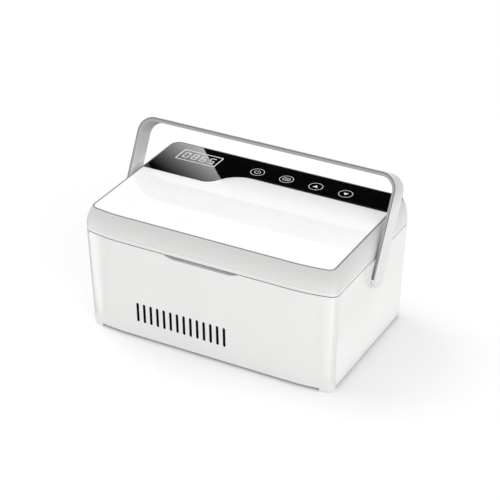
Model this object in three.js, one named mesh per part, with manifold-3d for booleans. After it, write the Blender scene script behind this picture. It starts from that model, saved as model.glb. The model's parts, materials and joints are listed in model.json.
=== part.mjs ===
// Insulin cooling case: a thermoelectric cool box with a hinged lid, a key panel and a bail handle.
// Millimetres, +Z up, front towards -Y, origin on the table under the middle of the case.
import * as THREE from 'three';
import { mergeVertices } from 'three/addons/utils/BufferGeometryUtils.js';
import Module from 'manifold-3d';

// Fits and moulding
const CLEAR = 0.3;
const OVERCUT = 2;
const WALL = 2.5;
const ROUND_SIDES = 16;
const ARC_STEPS = 2;

// Case body
const CASE_WIDTH = 260;
const CASE_DEPTH = 169.4;
const BODY_HEIGHT = 98.8;
const TAPER_WIDTH = 2.75;
const TAPER_DEPTH = 3;
const CORNER_RADIUS = 15;
const RIM_THICKNESS = 8.5;
const FOOT_HEIGHT = 3.5;
const FOOT_LENGTH = 13;
const FOOT_INSET = 0.8;
const BASE_THICKNESS = 3;
const BASE_SCREW_INSET = 35;
const BASE_BOSS_RADIUS = 4.5;
const BASE_BOSS_HEIGHT = 15;
const SEAT_OVERLAP = 1.2;

// Air slots
const SLOT_COUNT = 14;
const SLOT_PITCH = 7.08;
const SLOT_WIDTH = 2.4;
const SLOT_LENGTH = 20.4;
const SLOT_HEIGHT = 26.4;
const COOLER_X = -26.6;
const INTAKE_COUNT = 7;
const INTAKE_PITCH = 7;
const INTAKE_WIDTH = 3;
const INTAKE_LENGTH = 46;

// Finger scallop under the lid's front edge
const SCALLOP_LENGTH = 74;
const SCALLOP_DEPTH = 3.8;
const SCALLOP_REACH = 6.5;
const SCALLOP_SHOULDER = 6;
const SCALLOP_FLAT = 17;

// Cold chamber, inside the foam that stands clear of the case
const FOAM_SIDE_SPACE = 13.2;
const FOAM_END_SPACE = 13.9;
const CHAMBER_DEPTH = 42.5;
const CHAMBER_RADIUS = 6;
const LINER_WALL = 1.5;
const FLANGE_WIDTH = 8;
const FLANGE_THICKNESS = 2;
const JACKET_WALL = 13;
const PROBE_RADIUS = 2.2;
const PROBE_LENGTH = 14;
const PROBE_X = 60;
const PROBE_DROP = 14;

// Thermoelectric stack, from the chamber floor downwards
const COLD_PLATE_WIDTH = 110;
const COLD_PLATE_LENGTH = 70;
const COLD_PLATE_THICKNESS = 4;
const MODULE_SIDE = 40;
const MODULE_THICKNESS = 3.8;
const SINK_WIDTH = 84;
const SINK_LENGTH = 70;
const SINK_BASE = 4;
const FIN_COUNT = 13;
const FIN_THICKNESS = 1.6;
const FIN_HEIGHT = 19;
const CLAMP_SCREW_GRIP = 3;

// Fan
const FAN_SIDE = 60;
const FAN_HEIGHT = 15;
const FAN_CORNER = 4;
const FAN_BORE_RADIUS = 28;
const FAN_HUB_RADIUS = 12;
const FAN_HUB_PLATE = 2.5;
const FAN_SPOKE_WIDTH = 3;
const FAN_SPOKES = 3;
const FAN_TIP_GAP = 1;
const FAN_HOLE_SPACING = 50;
const BLADE_COUNT = 7;
const BLADE_THICKNESS = 1.2;
const BLADE_CHORD = 11;
const BLADE_PITCH_DEGREES = 38;

// Power pieces
const CELL_RADIUS = 9.2;
const CELL_LENGTH = 65;
const CELL_COUNT = 4;
const CELL_PITCH = 19;
const CELL_NUB_RADIUS = 3;
const CELL_NUB_HEIGHT = 1.4;
const TRAY_FLOOR = 2;
const TRAY_HEIGHT = 8;
const TRAY_END = 2.5;
const BATTERY_INSET = 56;
const BATTERY_BOARD_GAP = 4.75;
const BOARD_WIDTH = 66;
const BOARD_LENGTH = 26;
const BOARD_THICKNESS = 1.6;
const BOARD_INSET = 56;
const BOARD_SETBACK = 14.7;
const BOARD_POST_HEIGHT = 5.5;
const BOARD_POST_RADIUS = 2.5;
const BOARD_POST_MARGIN = 4;
const SOCKET_WIDTH = 9;
const SOCKET_HEIGHT = 11;
const SOCKET_LENGTH = 16;
const SOCKET_INSET = 70;
const SOCKET_BORE_RADIUS = 3.2;
const SOCKET_BORE_DEPTH = 10;
const SOCKET_PIN_RADIUS = 1;

// Lid
const LID_HEIGHT = 24;
const LID_BAND = 4;
const LID_FLANK = 4.8;
const LID_FLANK_STEPS = 5;
const LID_CREST_DROP = 0.5;
const LID_DECK = 2.5;
const PANEL_THICKNESS = 2.5;
const PANEL_MARGIN = 1.2;
const LID_PLATE = 3;
const LID_PLATE_RISE = 2.4;
const PLUG_GAP = 2;
const PLUG_REACH = 4;
const PLUG_WALL = 1.8;
const GASKET_WIDTH = 5;
const LID_FOAM_HEIGHT = 16;
const LID_POST_RADIUS = 4;
const LID_SCREW_INSET = 13;
const LID_SCREW_Y = 32;

// Black control panel along the rear of the lid
const CONTROL_DEPTH_DISPLAY = 61.6;
const CONTROL_DEPTH_KEYS = 35.2;
const CONTROL_STEP_REACH = 39.3;
const CONTROL_STEP_RADIUS = 14;
const CONTROL_STEP_DEGREES = 57;
const KEY_RADIUS = 7.2;
const KEY_PITCH = 31.1;
const KEY_INSET = 51.2;
const KEY_SETBACK = 21.4;
const KEY_FLANGE = 1.4;
const KEY_FLANGE_THICKNESS = 0.8;
const KEY_STEM_RADIUS = 2;
const KEY_STEM_LENGTH = 0.8;
const KEY_TRAVEL = 0.5;
const KEY_SIDES = 24;
const SWITCH_SIDE = 6;
const SWITCH_HEIGHT = 2.2;
const SWITCH_PLUNGER_RADIUS = 1.6;
const SWITCH_PLUNGER_HEIGHT = 0.5;
const DISPLAY_WIDTH = 46;
const DISPLAY_LENGTH = 22;
const DISPLAY_INSET = 39.7;
const CONTROL_BOARD_MARGIN = 4;
const CONTROL_RIB = 4;
const WINDOW_MARGIN = 1.5;

// Lid hinge
const HINGE_RADIUS = 4;
const HINGE_PIN_RADIUS = 1.5;
const HINGE_LENGTH = 232;
const KNUCKLE_LENGTH = 14;
const KNUCKLE_SPACING = 75;
const HINGE_PIN_END = 6;

// Lid catch
const CATCH_LENGTH = 20;
const CATCH_WIDTH = 6;
const CATCH_PLATE_THICKNESS = 1.2;
const CATCH_INSET = 12;

// Bail handle, straight up before it is leaned back
const HANDLE_WIDTH = 22;
const HANDLE_THICKNESS = 3.2;
const HANDLE_REACH = 93.5;
const HANDLE_CORNER = 16;
const HANDLE_LEAN_DEGREES = 28.2;
const HANDLE_PIVOT_DROP = 17.6;
const HANDLE_PAD = 2;
const HANDLE_PAD_RADIUS = 12;
const HANDLE_PIN_RADIUS = 4;
const HANDLE_PIN_GRIP = 1.7;
const HANDLE_PIN_HEAD_RADIUS = 7;
const HANDLE_PIN_HEAD = 2;

// Screws
const SCREW_RADIUS = 1.4;
const SCREW_HEAD_RADIUS = 2.3;
const SCREW_HEAD = 1.4;
const SCREW_LENGTH = 10;
const SCREW_SIDES = 12;

// Heights worked out from the sizes above
const skirtZ = FOOT_HEIGHT + CLEAR;
const seamZ = skirtZ + BODY_HEIGHT;
const lidZ = seamZ + CLEAR;
const topZ = seamZ + LID_HEIGHT;
const rimZ = seamZ - RIM_THICKNESS;
const baseZ = skirtZ - SEAT_OVERLAP;
const baseTopZ = baseZ + BASE_THICKNESS;
const floorZ = baseTopZ + CLEAR;
const chamberZ = seamZ - CHAMBER_DEPTH;
const linerZ = chamberZ - LINER_WALL;
const coldPlateTopZ = linerZ - CLEAR;
const coldPlateZ = coldPlateTopZ - COLD_PLATE_THICKNESS;
const moduleTopZ = coldPlateZ - CLEAR;
const moduleZ = moduleTopZ - MODULE_THICKNESS;
const sinkTopZ = moduleZ - CLEAR;
const sinkBaseZ = sinkTopZ - SINK_BASE;
const jacketZ = sinkTopZ + CLEAR;
const fanTopZ = floorZ + FAN_HEIGHT;
const boardZ = floorZ + BOARD_POST_HEIGHT;
const socketZ = boardZ + BOARD_THICKNESS + CLEAR;
const cellZ = floorZ + TRAY_FLOOR + CELL_RADIUS + CLEAR;
const panelZ = topZ - PANEL_THICKNESS;
const deckTopZ = panelZ - CLEAR;
const deckZ = deckTopZ - LID_DECK;
const lidPlateZ = seamZ + LID_PLATE_RISE;
const lidPlateTopZ = lidPlateZ + LID_PLATE;
const keyFlangeTopZ = panelZ - CLEAR;
const keyFlangeZ = keyFlangeTopZ - KEY_FLANGE_THICKNESS;
const keyStemZ = keyFlangeZ - KEY_STEM_LENGTH;
const plungerTopZ = keyStemZ - KEY_TRAVEL - CLEAR / 2;
const switchTopZ = plungerTopZ - SWITCH_PLUNGER_HEIGHT;
const switchZ = switchTopZ - SWITCH_HEIGHT;
const controlBoardTopZ = switchZ - CLEAR;
const controlBoardZ = controlBoardTopZ - BOARD_THICKNESS;
const pivotZ = seamZ - HANDLE_PIVOT_DROP;

// Plan sizes worked out from the sizes above
const halfWidth = CASE_WIDTH / 2;
const halfDepth = CASE_DEPTH / 2;
const foamHalfX = halfWidth - FOAM_SIDE_SPACE;
const foamHalfY = halfDepth - FOAM_END_SPACE;
const linerHalfX = foamHalfX - JACKET_WALL - CLEAR;
const linerHalfY = foamHalfY - JACKET_WALL - CLEAR;
const chamberHalfX = linerHalfX - LINER_WALL;
const chamberHalfY = linerHalfY - LINER_WALL;
const linerRadius = CHAMBER_RADIUS + LINER_WALL;
const crestHalfX = halfWidth - LID_FLANK;
const crestHalfY = halfDepth - LID_FLANK;
const panelHalfX = crestHalfX - PANEL_MARGIN;
const panelHalfY = crestHalfY - PANEL_MARGIN;
const panelRadius = CORNER_RADIUS - LID_FLANK / 2;
const keyY = panelHalfY - KEY_SETBACK;
const displayX = DISPLAY_INSET - panelHalfX;
const controlStepX = displayX + CONTROL_STEP_REACH;
const batteryX = halfWidth - BATTERY_INSET;
const boardX = halfWidth - BOARD_INSET;
const boardY = halfDepth - BOARD_SETBACK - BOARD_LENGTH / 2;
const trayWidth = CELL_COUNT * CELL_PITCH + TRAY_END;
const batteryY = boardY - BOARD_LENGTH / 2 - BATTERY_BOARD_GAP - trayWidth / 2;
const socketX = halfWidth - SOCKET_INSET;
const baseScrewX = halfWidth - BASE_SCREW_INSET;
const hingeY = halfDepth - HINGE_RADIUS;
const hingeZ = seamZ;
const scallopBackY = SCALLOP_REACH - halfDepth;
const lidScrewX = halfWidth - LID_SCREW_INSET;
const plugHalfX = chamberHalfX - PLUG_GAP;
const plugHalfY = chamberHalfY - PLUG_GAP;
const lidPlateRearY = hingeY - HINGE_RADIUS - 2 * CLEAR;
const baseScrewY = halfDepth - TAPER_DEPTH - WALL - BASE_BOSS_RADIUS + SEAT_OVERLAP;
const boreRadius = HANDLE_PIN_RADIUS + CLEAR;
const padFaceX = halfWidth + HANDLE_PAD;
const armFaceX = padFaceX + CLEAR;
const armOuterX = armFaceX + HANDLE_THICKNESS;
const screwHoleRadius = SCREW_RADIUS + CLEAR;
const screwSinkRadius = SCREW_HEAD_RADIUS + CLEAR;

const wasm = await Module();
wasm.setup();

/** Turns a closed three.js geometry into a solid that can be cut and joined. */
function toSolid(geometry) {
  const bare = geometry.clone();
  bare.deleteAttribute('normal');
  bare.deleteAttribute('uv');
  const merged = mergeVertices(bare);
  return new wasm.Manifold(new wasm.Mesh({
    numProp: 3,
    vertProperties: new Float32Array(merged.attributes.position.array),
    triVerts: new Uint32Array(merged.index.array),
  }));
}

/** Turns a solid back into a three.js geometry. */
function toGeometry(solid) {
  const mesh = solid.getMesh();
  const geometry = new THREE.BufferGeometry();
  geometry.setAttribute('position', new THREE.BufferAttribute(mesh.vertProperties, 3));
  geometry.setIndex(new THREE.BufferAttribute(mesh.triVerts, 1));
  geometry.computeVertexNormals();
  return geometry;
}

/** Joins any number of overlapping solids. */
function join(first, ...others) {
  return others.reduce((sum, other) => sum.add(other), first);
}

/** Cuts any number of tools out of a solid. */
function cut(first, ...tools) {
  return tools.reduce((rest, tool) => rest.subtract(tool), first);
}

/** A range centred on a value, as [low, high]. */
function around(centre, size) {
  return [centre - size / 2, centre + size / 2];
}

/** A range of distances from the middle, as [low, high] on the left (-1) or right (1) side. */
function onSide(side, near, far) {
  return side > 0 ? [near, far] : [-far, -near];
}

/** A box given by its ranges along X, Y and Z. */
function block([x0, x1], [y0, y1], [z0, z1]) {
  const geometry = new THREE.BoxGeometry(x1 - x0, y1 - y0, z1 - z0);
  geometry.translate((x0 + x1) / 2, (y0 + y1) / 2, (z0 + z1) / 2);
  return toSolid(geometry);
}

/** A round post along Z. */
function post(radius, x, y, [z0, z1], sides = ROUND_SIDES) {
  const geometry = new THREE.CylinderGeometry(radius, radius, z1 - z0, sides);
  geometry.rotateX(Math.PI / 2);
  geometry.translate(x, y, (z0 + z1) / 2);
  return toSolid(geometry);
}

/** A round rod along X. */
function rod(radius, [x0, x1], y, z, sides = ROUND_SIDES) {
  const geometry = new THREE.CylinderGeometry(radius, radius, x1 - x0, sides);
  geometry.rotateZ(Math.PI / 2);
  geometry.translate((x0 + x1) / 2, y, z);
  return toSolid(geometry);
}

/** A round rod along Y. */
function spigot(radius, x, [y0, y1], z, sides = ROUND_SIDES) {
  const geometry = new THREE.CylinderGeometry(radius, radius, y1 - y0, sides);
  geometry.translate(x, (y0 + y1) / 2, z);
  return toSolid(geometry);
}

/** A rectangle with round corners, centred on the origin. */
function roundedShape(halfX, halfY, radius) {
  const shape = new THREE.Shape();
  shape.absarc(halfX - radius, halfY - radius, radius, 0, Math.PI / 2);
  shape.absarc(radius - halfX, halfY - radius, radius, Math.PI / 2, Math.PI);
  shape.absarc(radius - halfX, radius - halfY, radius, Math.PI, 1.5 * Math.PI);
  shape.absarc(halfX - radius, radius - halfY, radius, 1.5 * Math.PI, 2 * Math.PI);
  return shape;
}

/** A flat shape raised along Z. */
function slab(shape, [z0, z1], curveSegments = ARC_STEPS) {
  const geometry = new THREE.ExtrudeGeometry(shape, { depth: z1 - z0, bevelEnabled: false, curveSegments });
  geometry.translate(0, 0, z0);
  return toSolid(geometry);
}

/** A rounded rectangle raised along Z. */
function pad(halfX, halfY, radius, range) {
  return slab(roundedShape(halfX, halfY, radius), range);
}

/** A shape drawn in X and Z, given thickness along Y. */
function wallCut(shape, [y0, y1], curveSegments = ARC_STEPS) {
  const geometry = new THREE.ExtrudeGeometry(shape, { depth: y1 - y0, bevelEnabled: false, curveSegments });
  geometry.rotateX(Math.PI / 2);
  geometry.translate(0, y1, 0);
  return toSolid(geometry);
}

/** A shape drawn in Y and Z, given thickness along X. */
function sideCut(shape, [x0, x1], curveSegments = ARC_STEPS) {
  const geometry = new THREE.ExtrudeGeometry(shape, { depth: x1 - x0, bevelEnabled: false, curveSegments });
  geometry.rotateX(Math.PI / 2);
  geometry.rotateZ(Math.PI / 2);
  geometry.translate(x0, 0, 0);
  return toSolid(geometry);
}

/** A closed skin through rounded rectangles stacked along Z, each given as { z, halfX, halfY, radius }. */
function loft(rings) {
  const outlines = rings.map((ring) => {
    const shape = roundedShape(ring.halfX, ring.halfY, ring.radius);
    return shape.getPoints(ARC_STEPS);
  });
  const count = outlines[0].length;
  const positions = rings.flatMap((ring, level) => {
    const level3d = outlines[level].map((point) => [point.x, point.y, ring.z]);
    return level3d.flat();
  });
  const cap = THREE.ShapeUtils.triangulateShape(outlines[0], []);
  const lastStart = (rings.length - 1) * count;
  const index = [];
  for (const [a, b, c] of cap) {
    index.push(a, c, b);
    index.push(lastStart + a, lastStart + b, lastStart + c);
  }
  for (let level = 0; level + 1 < rings.length; level += 1) {
    for (let step = 0; step < count; step += 1) {
      const low = level * count + step;
      const lowNext = level * count + ((step + 1) % count);
      index.push(low, lowNext, lowNext + count);
      index.push(low, lowNext + count, low + count);
    }
  }
  const geometry = new THREE.BufferGeometry();
  geometry.setAttribute('position', new THREE.Float32BufferAttribute(positions, 3));
  geometry.setIndex(index);
  return toSolid(geometry);
}

/** The body's outline at a height, drawn in by an inset. */
function bodyRing(z, inset) {
  const lean = (seamZ - z) / BODY_HEIGHT;
  return {
    z,
    halfX: halfWidth - TAPER_WIDTH * lean - inset,
    halfY: halfDepth - TAPER_DEPTH * lean - inset,
    radius: CORNER_RADIUS - inset,
  };
}

/** The lid's outline at a height, drawn in by an inset: an upright band, then a convex flank. */
function lidRing(z, inset) {
  const flankHeight = topZ - LID_CREST_DROP - lidZ - LID_BAND;
  const flankRadius = (flankHeight ** 2 + LID_FLANK ** 2) / (2 * LID_FLANK);
  const rise = Math.max(0, z - lidZ - LID_BAND);
  const drawIn = flankRadius - Math.sqrt(flankRadius ** 2 - rise ** 2) + inset;
  return {
    z,
    halfX: halfWidth - drawIn,
    halfY: halfDepth - drawIn,
    radius: CORNER_RADIUS - drawIn / 2,
  };
}

/** The lid's skin from its lower edge to a height. */
function lidSkin(z0, z1, inset) {
  const rings = [lidRing(z0, inset)];
  const flankZ = lidZ + LID_BAND;
  for (let step = 0; step <= LID_FLANK_STEPS; step += 1) {
    rings.push(lidRing(flankZ + ((z1 - flankZ) * step) / LID_FLANK_STEPS, inset));
  }
  return loft(rings);
}

/** The four corners of a rectangle, as [x, y] pairs. */
function corners(x, y) {
  return [[-x, -y], [x, -y], [x, y], [-x, y]];
}

/** A pan-head screw that points up, with the underside of its head at a height. */
function screwUp(x, y, seatZ, length = SCREW_LENGTH) {
  const head = post(SCREW_HEAD_RADIUS, x, y, [seatZ - SCREW_HEAD, seatZ], SCREW_SIDES);
  return join(head, post(SCREW_RADIUS, x, y, [seatZ - SCREW_HEAD / 2, seatZ + length], SCREW_SIDES));
}

/** The row of upright air slots, as cutters through a wall. */
function airSlots(yRange) {
  const cutters = [];
  const round = SLOT_WIDTH / 2;
  for (let place = 0; place < SLOT_COUNT; place += 1) {
    const x = COOLER_X + (place - (SLOT_COUNT - 1) / 2) * SLOT_PITCH;
    const low = skirtZ + SLOT_HEIGHT - SLOT_LENGTH / 2 + round;
    const shape = new THREE.Shape();
    shape.absarc(x, low + SLOT_LENGTH - SLOT_WIDTH, round, 0, Math.PI);
    shape.absarc(x, low, round, Math.PI, 2 * Math.PI);
    cutters.push(wallCut(shape, yRange));
  }
  return cutters;
}

/** The finger scallop as a cutter in the body's front edge. */
function scallopCutter() {
  const half = SCALLOP_LENGTH / 2;
  const deepZ = seamZ - SCALLOP_DEPTH;
  const shape = new THREE.Shape();
  shape.moveTo(half, seamZ + OVERCUT);
  shape.lineTo(-half, seamZ + OVERCUT);
  shape.lineTo(-half, seamZ);
  const shoulder = half - SCALLOP_SHOULDER;
  const flat = half - SCALLOP_FLAT;
  shape.bezierCurveTo(-shoulder, deepZ, -flat, deepZ, 0, deepZ);
  shape.bezierCurveTo(flat, deepZ, shoulder, deepZ, half, seamZ);
  return wallCut(shape, [-halfDepth - OVERCUT, scallopBackY], 3 * ARC_STEPS);
}

/** The centres of the hinge knuckles that belong to the body. */
const knuckleCentres = [-KNUCKLE_SPACING, 0, KNUCKLE_SPACING];

/** The outer shell of the body, with its slots, rim, hinge rail and handle pads. */
function bodyShell() {
  const outer = loft([bodyRing(skirtZ, 0), bodyRing(seamZ, 0)]);
  const inner = loft([bodyRing(skirtZ - OVERCUT, WALL), bodyRing(rimZ, WALL)]);
  const throughRim = [rimZ - OVERCUT, seamZ + OVERCUT];
  const opening = pad(linerHalfX + CLEAR, linerHalfY + CLEAR, linerRadius + CLEAR, throughRim);
  const flangeX = linerHalfX + FLANGE_WIDTH + CLEAR;
  const flangeY = linerHalfY + FLANGE_WIDTH + CLEAR;
  const flangeDepth = [seamZ - FLANGE_THICKNESS - CLEAR, seamZ + OVERCUT];
  const flangeSeat = pad(flangeX, flangeY, linerRadius + FLANGE_WIDTH, flangeDepth);
  const hingeSpan = around(0, HINGE_LENGTH + 2 * CLEAR);
  const groove = rod(HINGE_RADIUS + CLEAR, hingeSpan, hingeY, hingeZ);
  const rearStep = block(
    around(0, 2 * CASE_WIDTH),
    [hingeY - CLEAR, CASE_DEPTH],
    [hingeZ - HINGE_RADIUS - 2 * CLEAR, seamZ + OVERCUT],
  );
  const catchSeat = block(
    around(0, CATCH_LENGTH + 2 * CLEAR),
    around(CATCH_INSET - halfDepth, CATCH_WIDTH + 2 * CLEAR),
    [seamZ - CATCH_PLATE_THICKNESS - CLEAR, seamZ + OVERCUT],
  );
  const socketHole = block(
    around(socketX, SOCKET_WIDTH + 2 * CLEAR),
    [halfDepth - TAPER_DEPTH - 2 * WALL, halfDepth + OVERCUT],
    around(socketZ + SOCKET_HEIGHT / 2, SOCKET_HEIGHT + 2 * CLEAR),
  );
  let shell = cut(outer, inner, opening, flangeSeat, groove, rearStep);
  shell = cut(shell, catchSeat, socketHole, scallopCutter());
  shell = cut(shell, ...airSlots([-halfDepth - OVERCUT, TAPER_DEPTH + 2 * WALL - halfDepth]));
  shell = cut(shell, ...airSlots([halfDepth - TAPER_DEPTH - 2 * WALL, halfDepth + OVERCUT]));
  for (const centre of knuckleCentres) {
    const span = around(centre, KNUCKLE_LENGTH);
    const web = block(
      around(centre, KNUCKLE_LENGTH),
      [hingeY - HINGE_RADIUS + CLEAR / 2, hingeY - CLEAR],
      [rimZ + CLEAR, hingeZ - CLEAR],
    );
    shell = join(shell, rod(HINGE_RADIUS, span, hingeY, hingeZ), web);
  }
  shell = cut(shell, rod(HINGE_PIN_RADIUS + CLEAR, around(0, HINGE_LENGTH), hingeY, hingeZ));
  for (const side of [-1, 1]) {
    shell = join(shell, handlePad(side));
    const bore = onSide(side, halfWidth - TAPER_WIDTH - 2 * WALL, padFaceX + OVERCUT);
    shell = cut(shell, rod(boreRadius, bore, 0, pivotZ));
  }
  for (const [x, y] of corners(baseScrewX, baseScrewY)) {
    const boss = post(BASE_BOSS_RADIUS, x, y, [floorZ, floorZ + BASE_BOSS_HEIGHT]);
    const pilot = [floorZ - OVERCUT, floorZ + SCREW_LENGTH + CLEAR];
    shell = cut(join(shell, boss), post(screwHoleRadius, x, y, pilot, SCREW_SIDES));
  }
  return shell;
}

/** The raised pad on one side of the body that the handle turns on. */
function handlePad(side) {
  const shape = new THREE.Shape();
  shape.absarc(0, pivotZ, HANDLE_PAD_RADIUS, Math.PI, 2 * Math.PI);
  shape.lineTo(HANDLE_PAD_RADIUS, seamZ - HANDLE_PAD);
  shape.lineTo(-HANDLE_PAD_RADIUS, seamZ - HANDLE_PAD);
  const rootX = bodyRing(pivotZ - HANDLE_PAD_RADIUS, WALL).halfX + SEAT_OVERLAP;
  return sideCut(shape, onSide(side, rootX, padFaceX), 2 * ARC_STEPS);
}

/** The cover under the body, with its corner feet, fan intake and board posts. */
function baseCover() {
  const edge = bodyRing(skirtZ, WALL + CLEAR);
  let cover = pad(edge.halfX, edge.halfY, edge.radius, [baseZ, baseTopZ]);
  const footRing = bodyRing(skirtZ, FOOT_INSET);
  const footPlan = pad(footRing.halfX, footRing.halfY, footRing.radius, [0, FOOT_HEIGHT]);
  for (const [x, y] of corners(footRing.halfX, footRing.halfY)) {
    const corner = block(around(x, 2 * FOOT_LENGTH), around(y, 2 * FOOT_LENGTH), [-OVERCUT, topZ]);
    cover = join(cover, footPlan.intersect(corner));
  }
  for (let place = 0; place < INTAKE_COUNT; place += 1) {
    const x = COOLER_X + (place - (INTAKE_COUNT - 1) / 2) * INTAKE_PITCH;
    cover = cut(cover, block(around(x, INTAKE_WIDTH), around(0, INTAKE_LENGTH), [0, floorZ]));
  }
  for (const [x, y] of boardPostPlaces()) {
    cover = join(cover, post(BOARD_POST_RADIUS, x, y, [baseZ + CLEAR, floorZ + BOARD_POST_HEIGHT - CLEAR]));
  }
  const seatZ = baseTopZ - SCREW_HEAD / 2;
  for (const [x, y] of [...corners(baseScrewX, baseScrewY), ...fanScrewPlaces()]) {
    cover = cut(
      cover,
      post(screwHoleRadius, x, y, [0, floorZ], SCREW_SIDES),
      post(screwSinkRadius, x, y, [0, seatZ], SCREW_SIDES),
    );
  }
  return cover;
}

/** The places of the posts under the main board, as [x, y] pairs. */
function boardPostPlaces() {
  const places = corners(BOARD_WIDTH / 2 - BOARD_POST_MARGIN, BOARD_LENGTH / 2 - BOARD_POST_MARGIN);
  return places.map(([x, y]) => [boardX + x, boardY + y]);
}

/** The places of the fan's corner screws, as [x, y] pairs. */
function fanScrewPlaces() {
  const half = FAN_HOLE_SPACING / 2;
  return corners(half, half).map(([x, y]) => [COOLER_X + x, y]);
}

/** The two clamp screws' distance from the cooler's centre, midway between two fins. */
const finPitch = (SINK_WIDTH - FIN_THICKNESS) / (FIN_COUNT - 1);
const clampReach = (Math.ceil(MODULE_SIDE / 2 / finPitch) + 0.5 + ((FIN_COUNT - 1) / 2 % 1)) * finPitch;
const clampPlaces = [COOLER_X - clampReach, COOLER_X + clampReach];

/** The tub of the cold chamber. */
function chamberLiner() {
  const tub = pad(linerHalfX, linerHalfY, linerRadius, [linerZ, seamZ]);
  const flangeX = linerHalfX + FLANGE_WIDTH;
  const flangeY = linerHalfY + FLANGE_WIDTH;
  const flange = pad(flangeX, flangeY, linerRadius + FLANGE_WIDTH, [seamZ - FLANGE_THICKNESS, seamZ]);
  return cut(join(tub, flange), pad(chamberHalfX, chamberHalfY, CHAMBER_RADIUS, [chamberZ, seamZ + OVERCUT]));
}

/** The foam tub round the liner, open under the cold plate. */
function insulationJacket() {
  const outer = pad(foamHalfX, foamHalfY, linerRadius + JACKET_WALL, [jacketZ, rimZ - CLEAR]);
  const hollow = [linerZ - CLEAR, rimZ + OVERCUT];
  const inner = pad(linerHalfX + CLEAR, linerHalfY + CLEAR, linerRadius + CLEAR, hollow);
  const plateSeat = block(
    around(COOLER_X, COLD_PLATE_WIDTH + 2 * CLEAR),
    around(0, COLD_PLATE_LENGTH + 2 * CLEAR),
    [coldPlateZ - CLEAR, linerZ],
  );
  const moduleSide = MODULE_SIDE + 2 * CLEAR;
  const throughFloor = [jacketZ - OVERCUT, linerZ];
  const moduleHole = block(around(COOLER_X, moduleSide), around(0, moduleSide), throughFloor);
  const clampHoles = clampPlaces.map((x) => post(screwHoleRadius, x, 0, throughFloor, SCREW_SIDES));
  return cut(outer, inner, plateSeat, moduleHole, ...clampHoles);
}

/** The aluminium plate under the chamber floor. */
function coldPlate() {
  const plate = block(
    around(COOLER_X, COLD_PLATE_WIDTH),
    around(0, COLD_PLATE_LENGTH),
    [coldPlateZ, coldPlateTopZ],
  );
  const blind = [coldPlateZ - OVERCUT, coldPlateZ + CLAMP_SCREW_GRIP + CLEAR];
  const holes = clampPlaces.map((x) => post(screwHoleRadius, x, 0, blind, SCREW_SIDES));
  return cut(plate, ...holes);
}

/** The finned heat sink, its fins running front to back. */
function heatSink() {
  const left = COOLER_X - SINK_WIDTH / 2;
  const finZ = sinkBaseZ - FIN_HEIGHT;
  const shape = new THREE.Shape();
  shape.moveTo(left + SINK_WIDTH, sinkTopZ);
  shape.lineTo(left, sinkTopZ);
  for (let fin = 0; fin < FIN_COUNT; fin += 1) {
    const x = left + fin * finPitch;
    shape.lineTo(x, fin === 0 ? finZ : sinkBaseZ);
    if (fin > 0) {
      shape.lineTo(x, finZ);
    }
    shape.lineTo(x + FIN_THICKNESS, finZ);
    if (fin + 1 < FIN_COUNT) {
      shape.lineTo(x + FIN_THICKNESS, sinkBaseZ);
    }
  }
  const sink = wallCut(shape, around(0, SINK_LENGTH));
  const holes = clampPlaces.map((x) => post(screwHoleRadius, x, 0, [finZ, sinkTopZ + OVERCUT], SCREW_SIDES));
  return cut(sink, ...holes);
}

/** The fan's square frame, with the hub plate and its spokes at the bottom. */
function fanFrame() {
  const half = FAN_SIDE / 2;
  const range = [floorZ, fanTopZ];
  const hubRange = [floorZ, floorZ + FAN_HUB_PLATE];
  let frame = pad(half, half, FAN_CORNER, range).translate([COOLER_X, 0, 0]);
  frame = cut(frame, post(FAN_BORE_RADIUS, COOLER_X, 0, [0, topZ], 2 * ROUND_SIDES));
  frame = join(frame, post(FAN_HUB_RADIUS, COOLER_X, 0, hubRange));
  for (let spoke = 0; spoke < FAN_SPOKES; spoke += 1) {
    const bar = block([0, FAN_BORE_RADIUS + SEAT_OVERLAP], around(0, FAN_SPOKE_WIDTH), hubRange);
    frame = join(frame, bar.rotate([0, 0, 90 + (spoke * 360) / FAN_SPOKES]).translate([COOLER_X, 0, 0]));
  }
  const holes = fanScrewPlaces().map(([x, y]) => post(screwHoleRadius, x, y, [0, topZ], SCREW_SIDES));
  return cut(frame, ...holes);
}

/** The fan's hub and blades, which turn over the hub plate. */
function fanRotor() {
  const hubZ = floorZ + FAN_HUB_PLATE + CLEAR;
  const hubTopZ = fanTopZ - FAN_TIP_GAP;
  let rotor = post(FAN_HUB_RADIUS, COOLER_X, 0, [hubZ, hubTopZ]);
  for (let blade = 0; blade < BLADE_COUNT; blade += 1) {
    const reach = [FAN_HUB_RADIUS - BLADE_THICKNESS, FAN_BORE_RADIUS - FAN_TIP_GAP];
    const plate = block(reach, around(0, BLADE_CHORD), around(0, BLADE_THICKNESS));
    const turned = plate.rotate([BLADE_PITCH_DEGREES, 0, 0]).rotate([0, 0, (blade * 360) / BLADE_COUNT]);
    rotor = join(rotor, turned.translate([COOLER_X, 0, (hubZ + hubTopZ) / 2]));
  }
  return rotor;
}

/** The place of a battery cell across the tray. */
function cellY(place) {
  return batteryY + (place - (CELL_COUNT - 1) / 2) * CELL_PITCH;
}

/** The tray that holds the battery cells side by side. */
function batteryTray() {
  const length = CELL_LENGTH + CELL_NUB_HEIGHT + 2 * CLEAR + 2 * TRAY_END;
  let tray = block(around(batteryX, length), around(batteryY, trayWidth), [floorZ, floorZ + TRAY_HEIGHT]);
  const groove = around(batteryX, CELL_LENGTH + CELL_NUB_HEIGHT + 2 * CLEAR);
  for (let place = 0; place < CELL_COUNT; place += 1) {
    tray = cut(tray, rod(CELL_RADIUS + CLEAR, groove, cellY(place), cellZ));
  }
  return tray;
}

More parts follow.
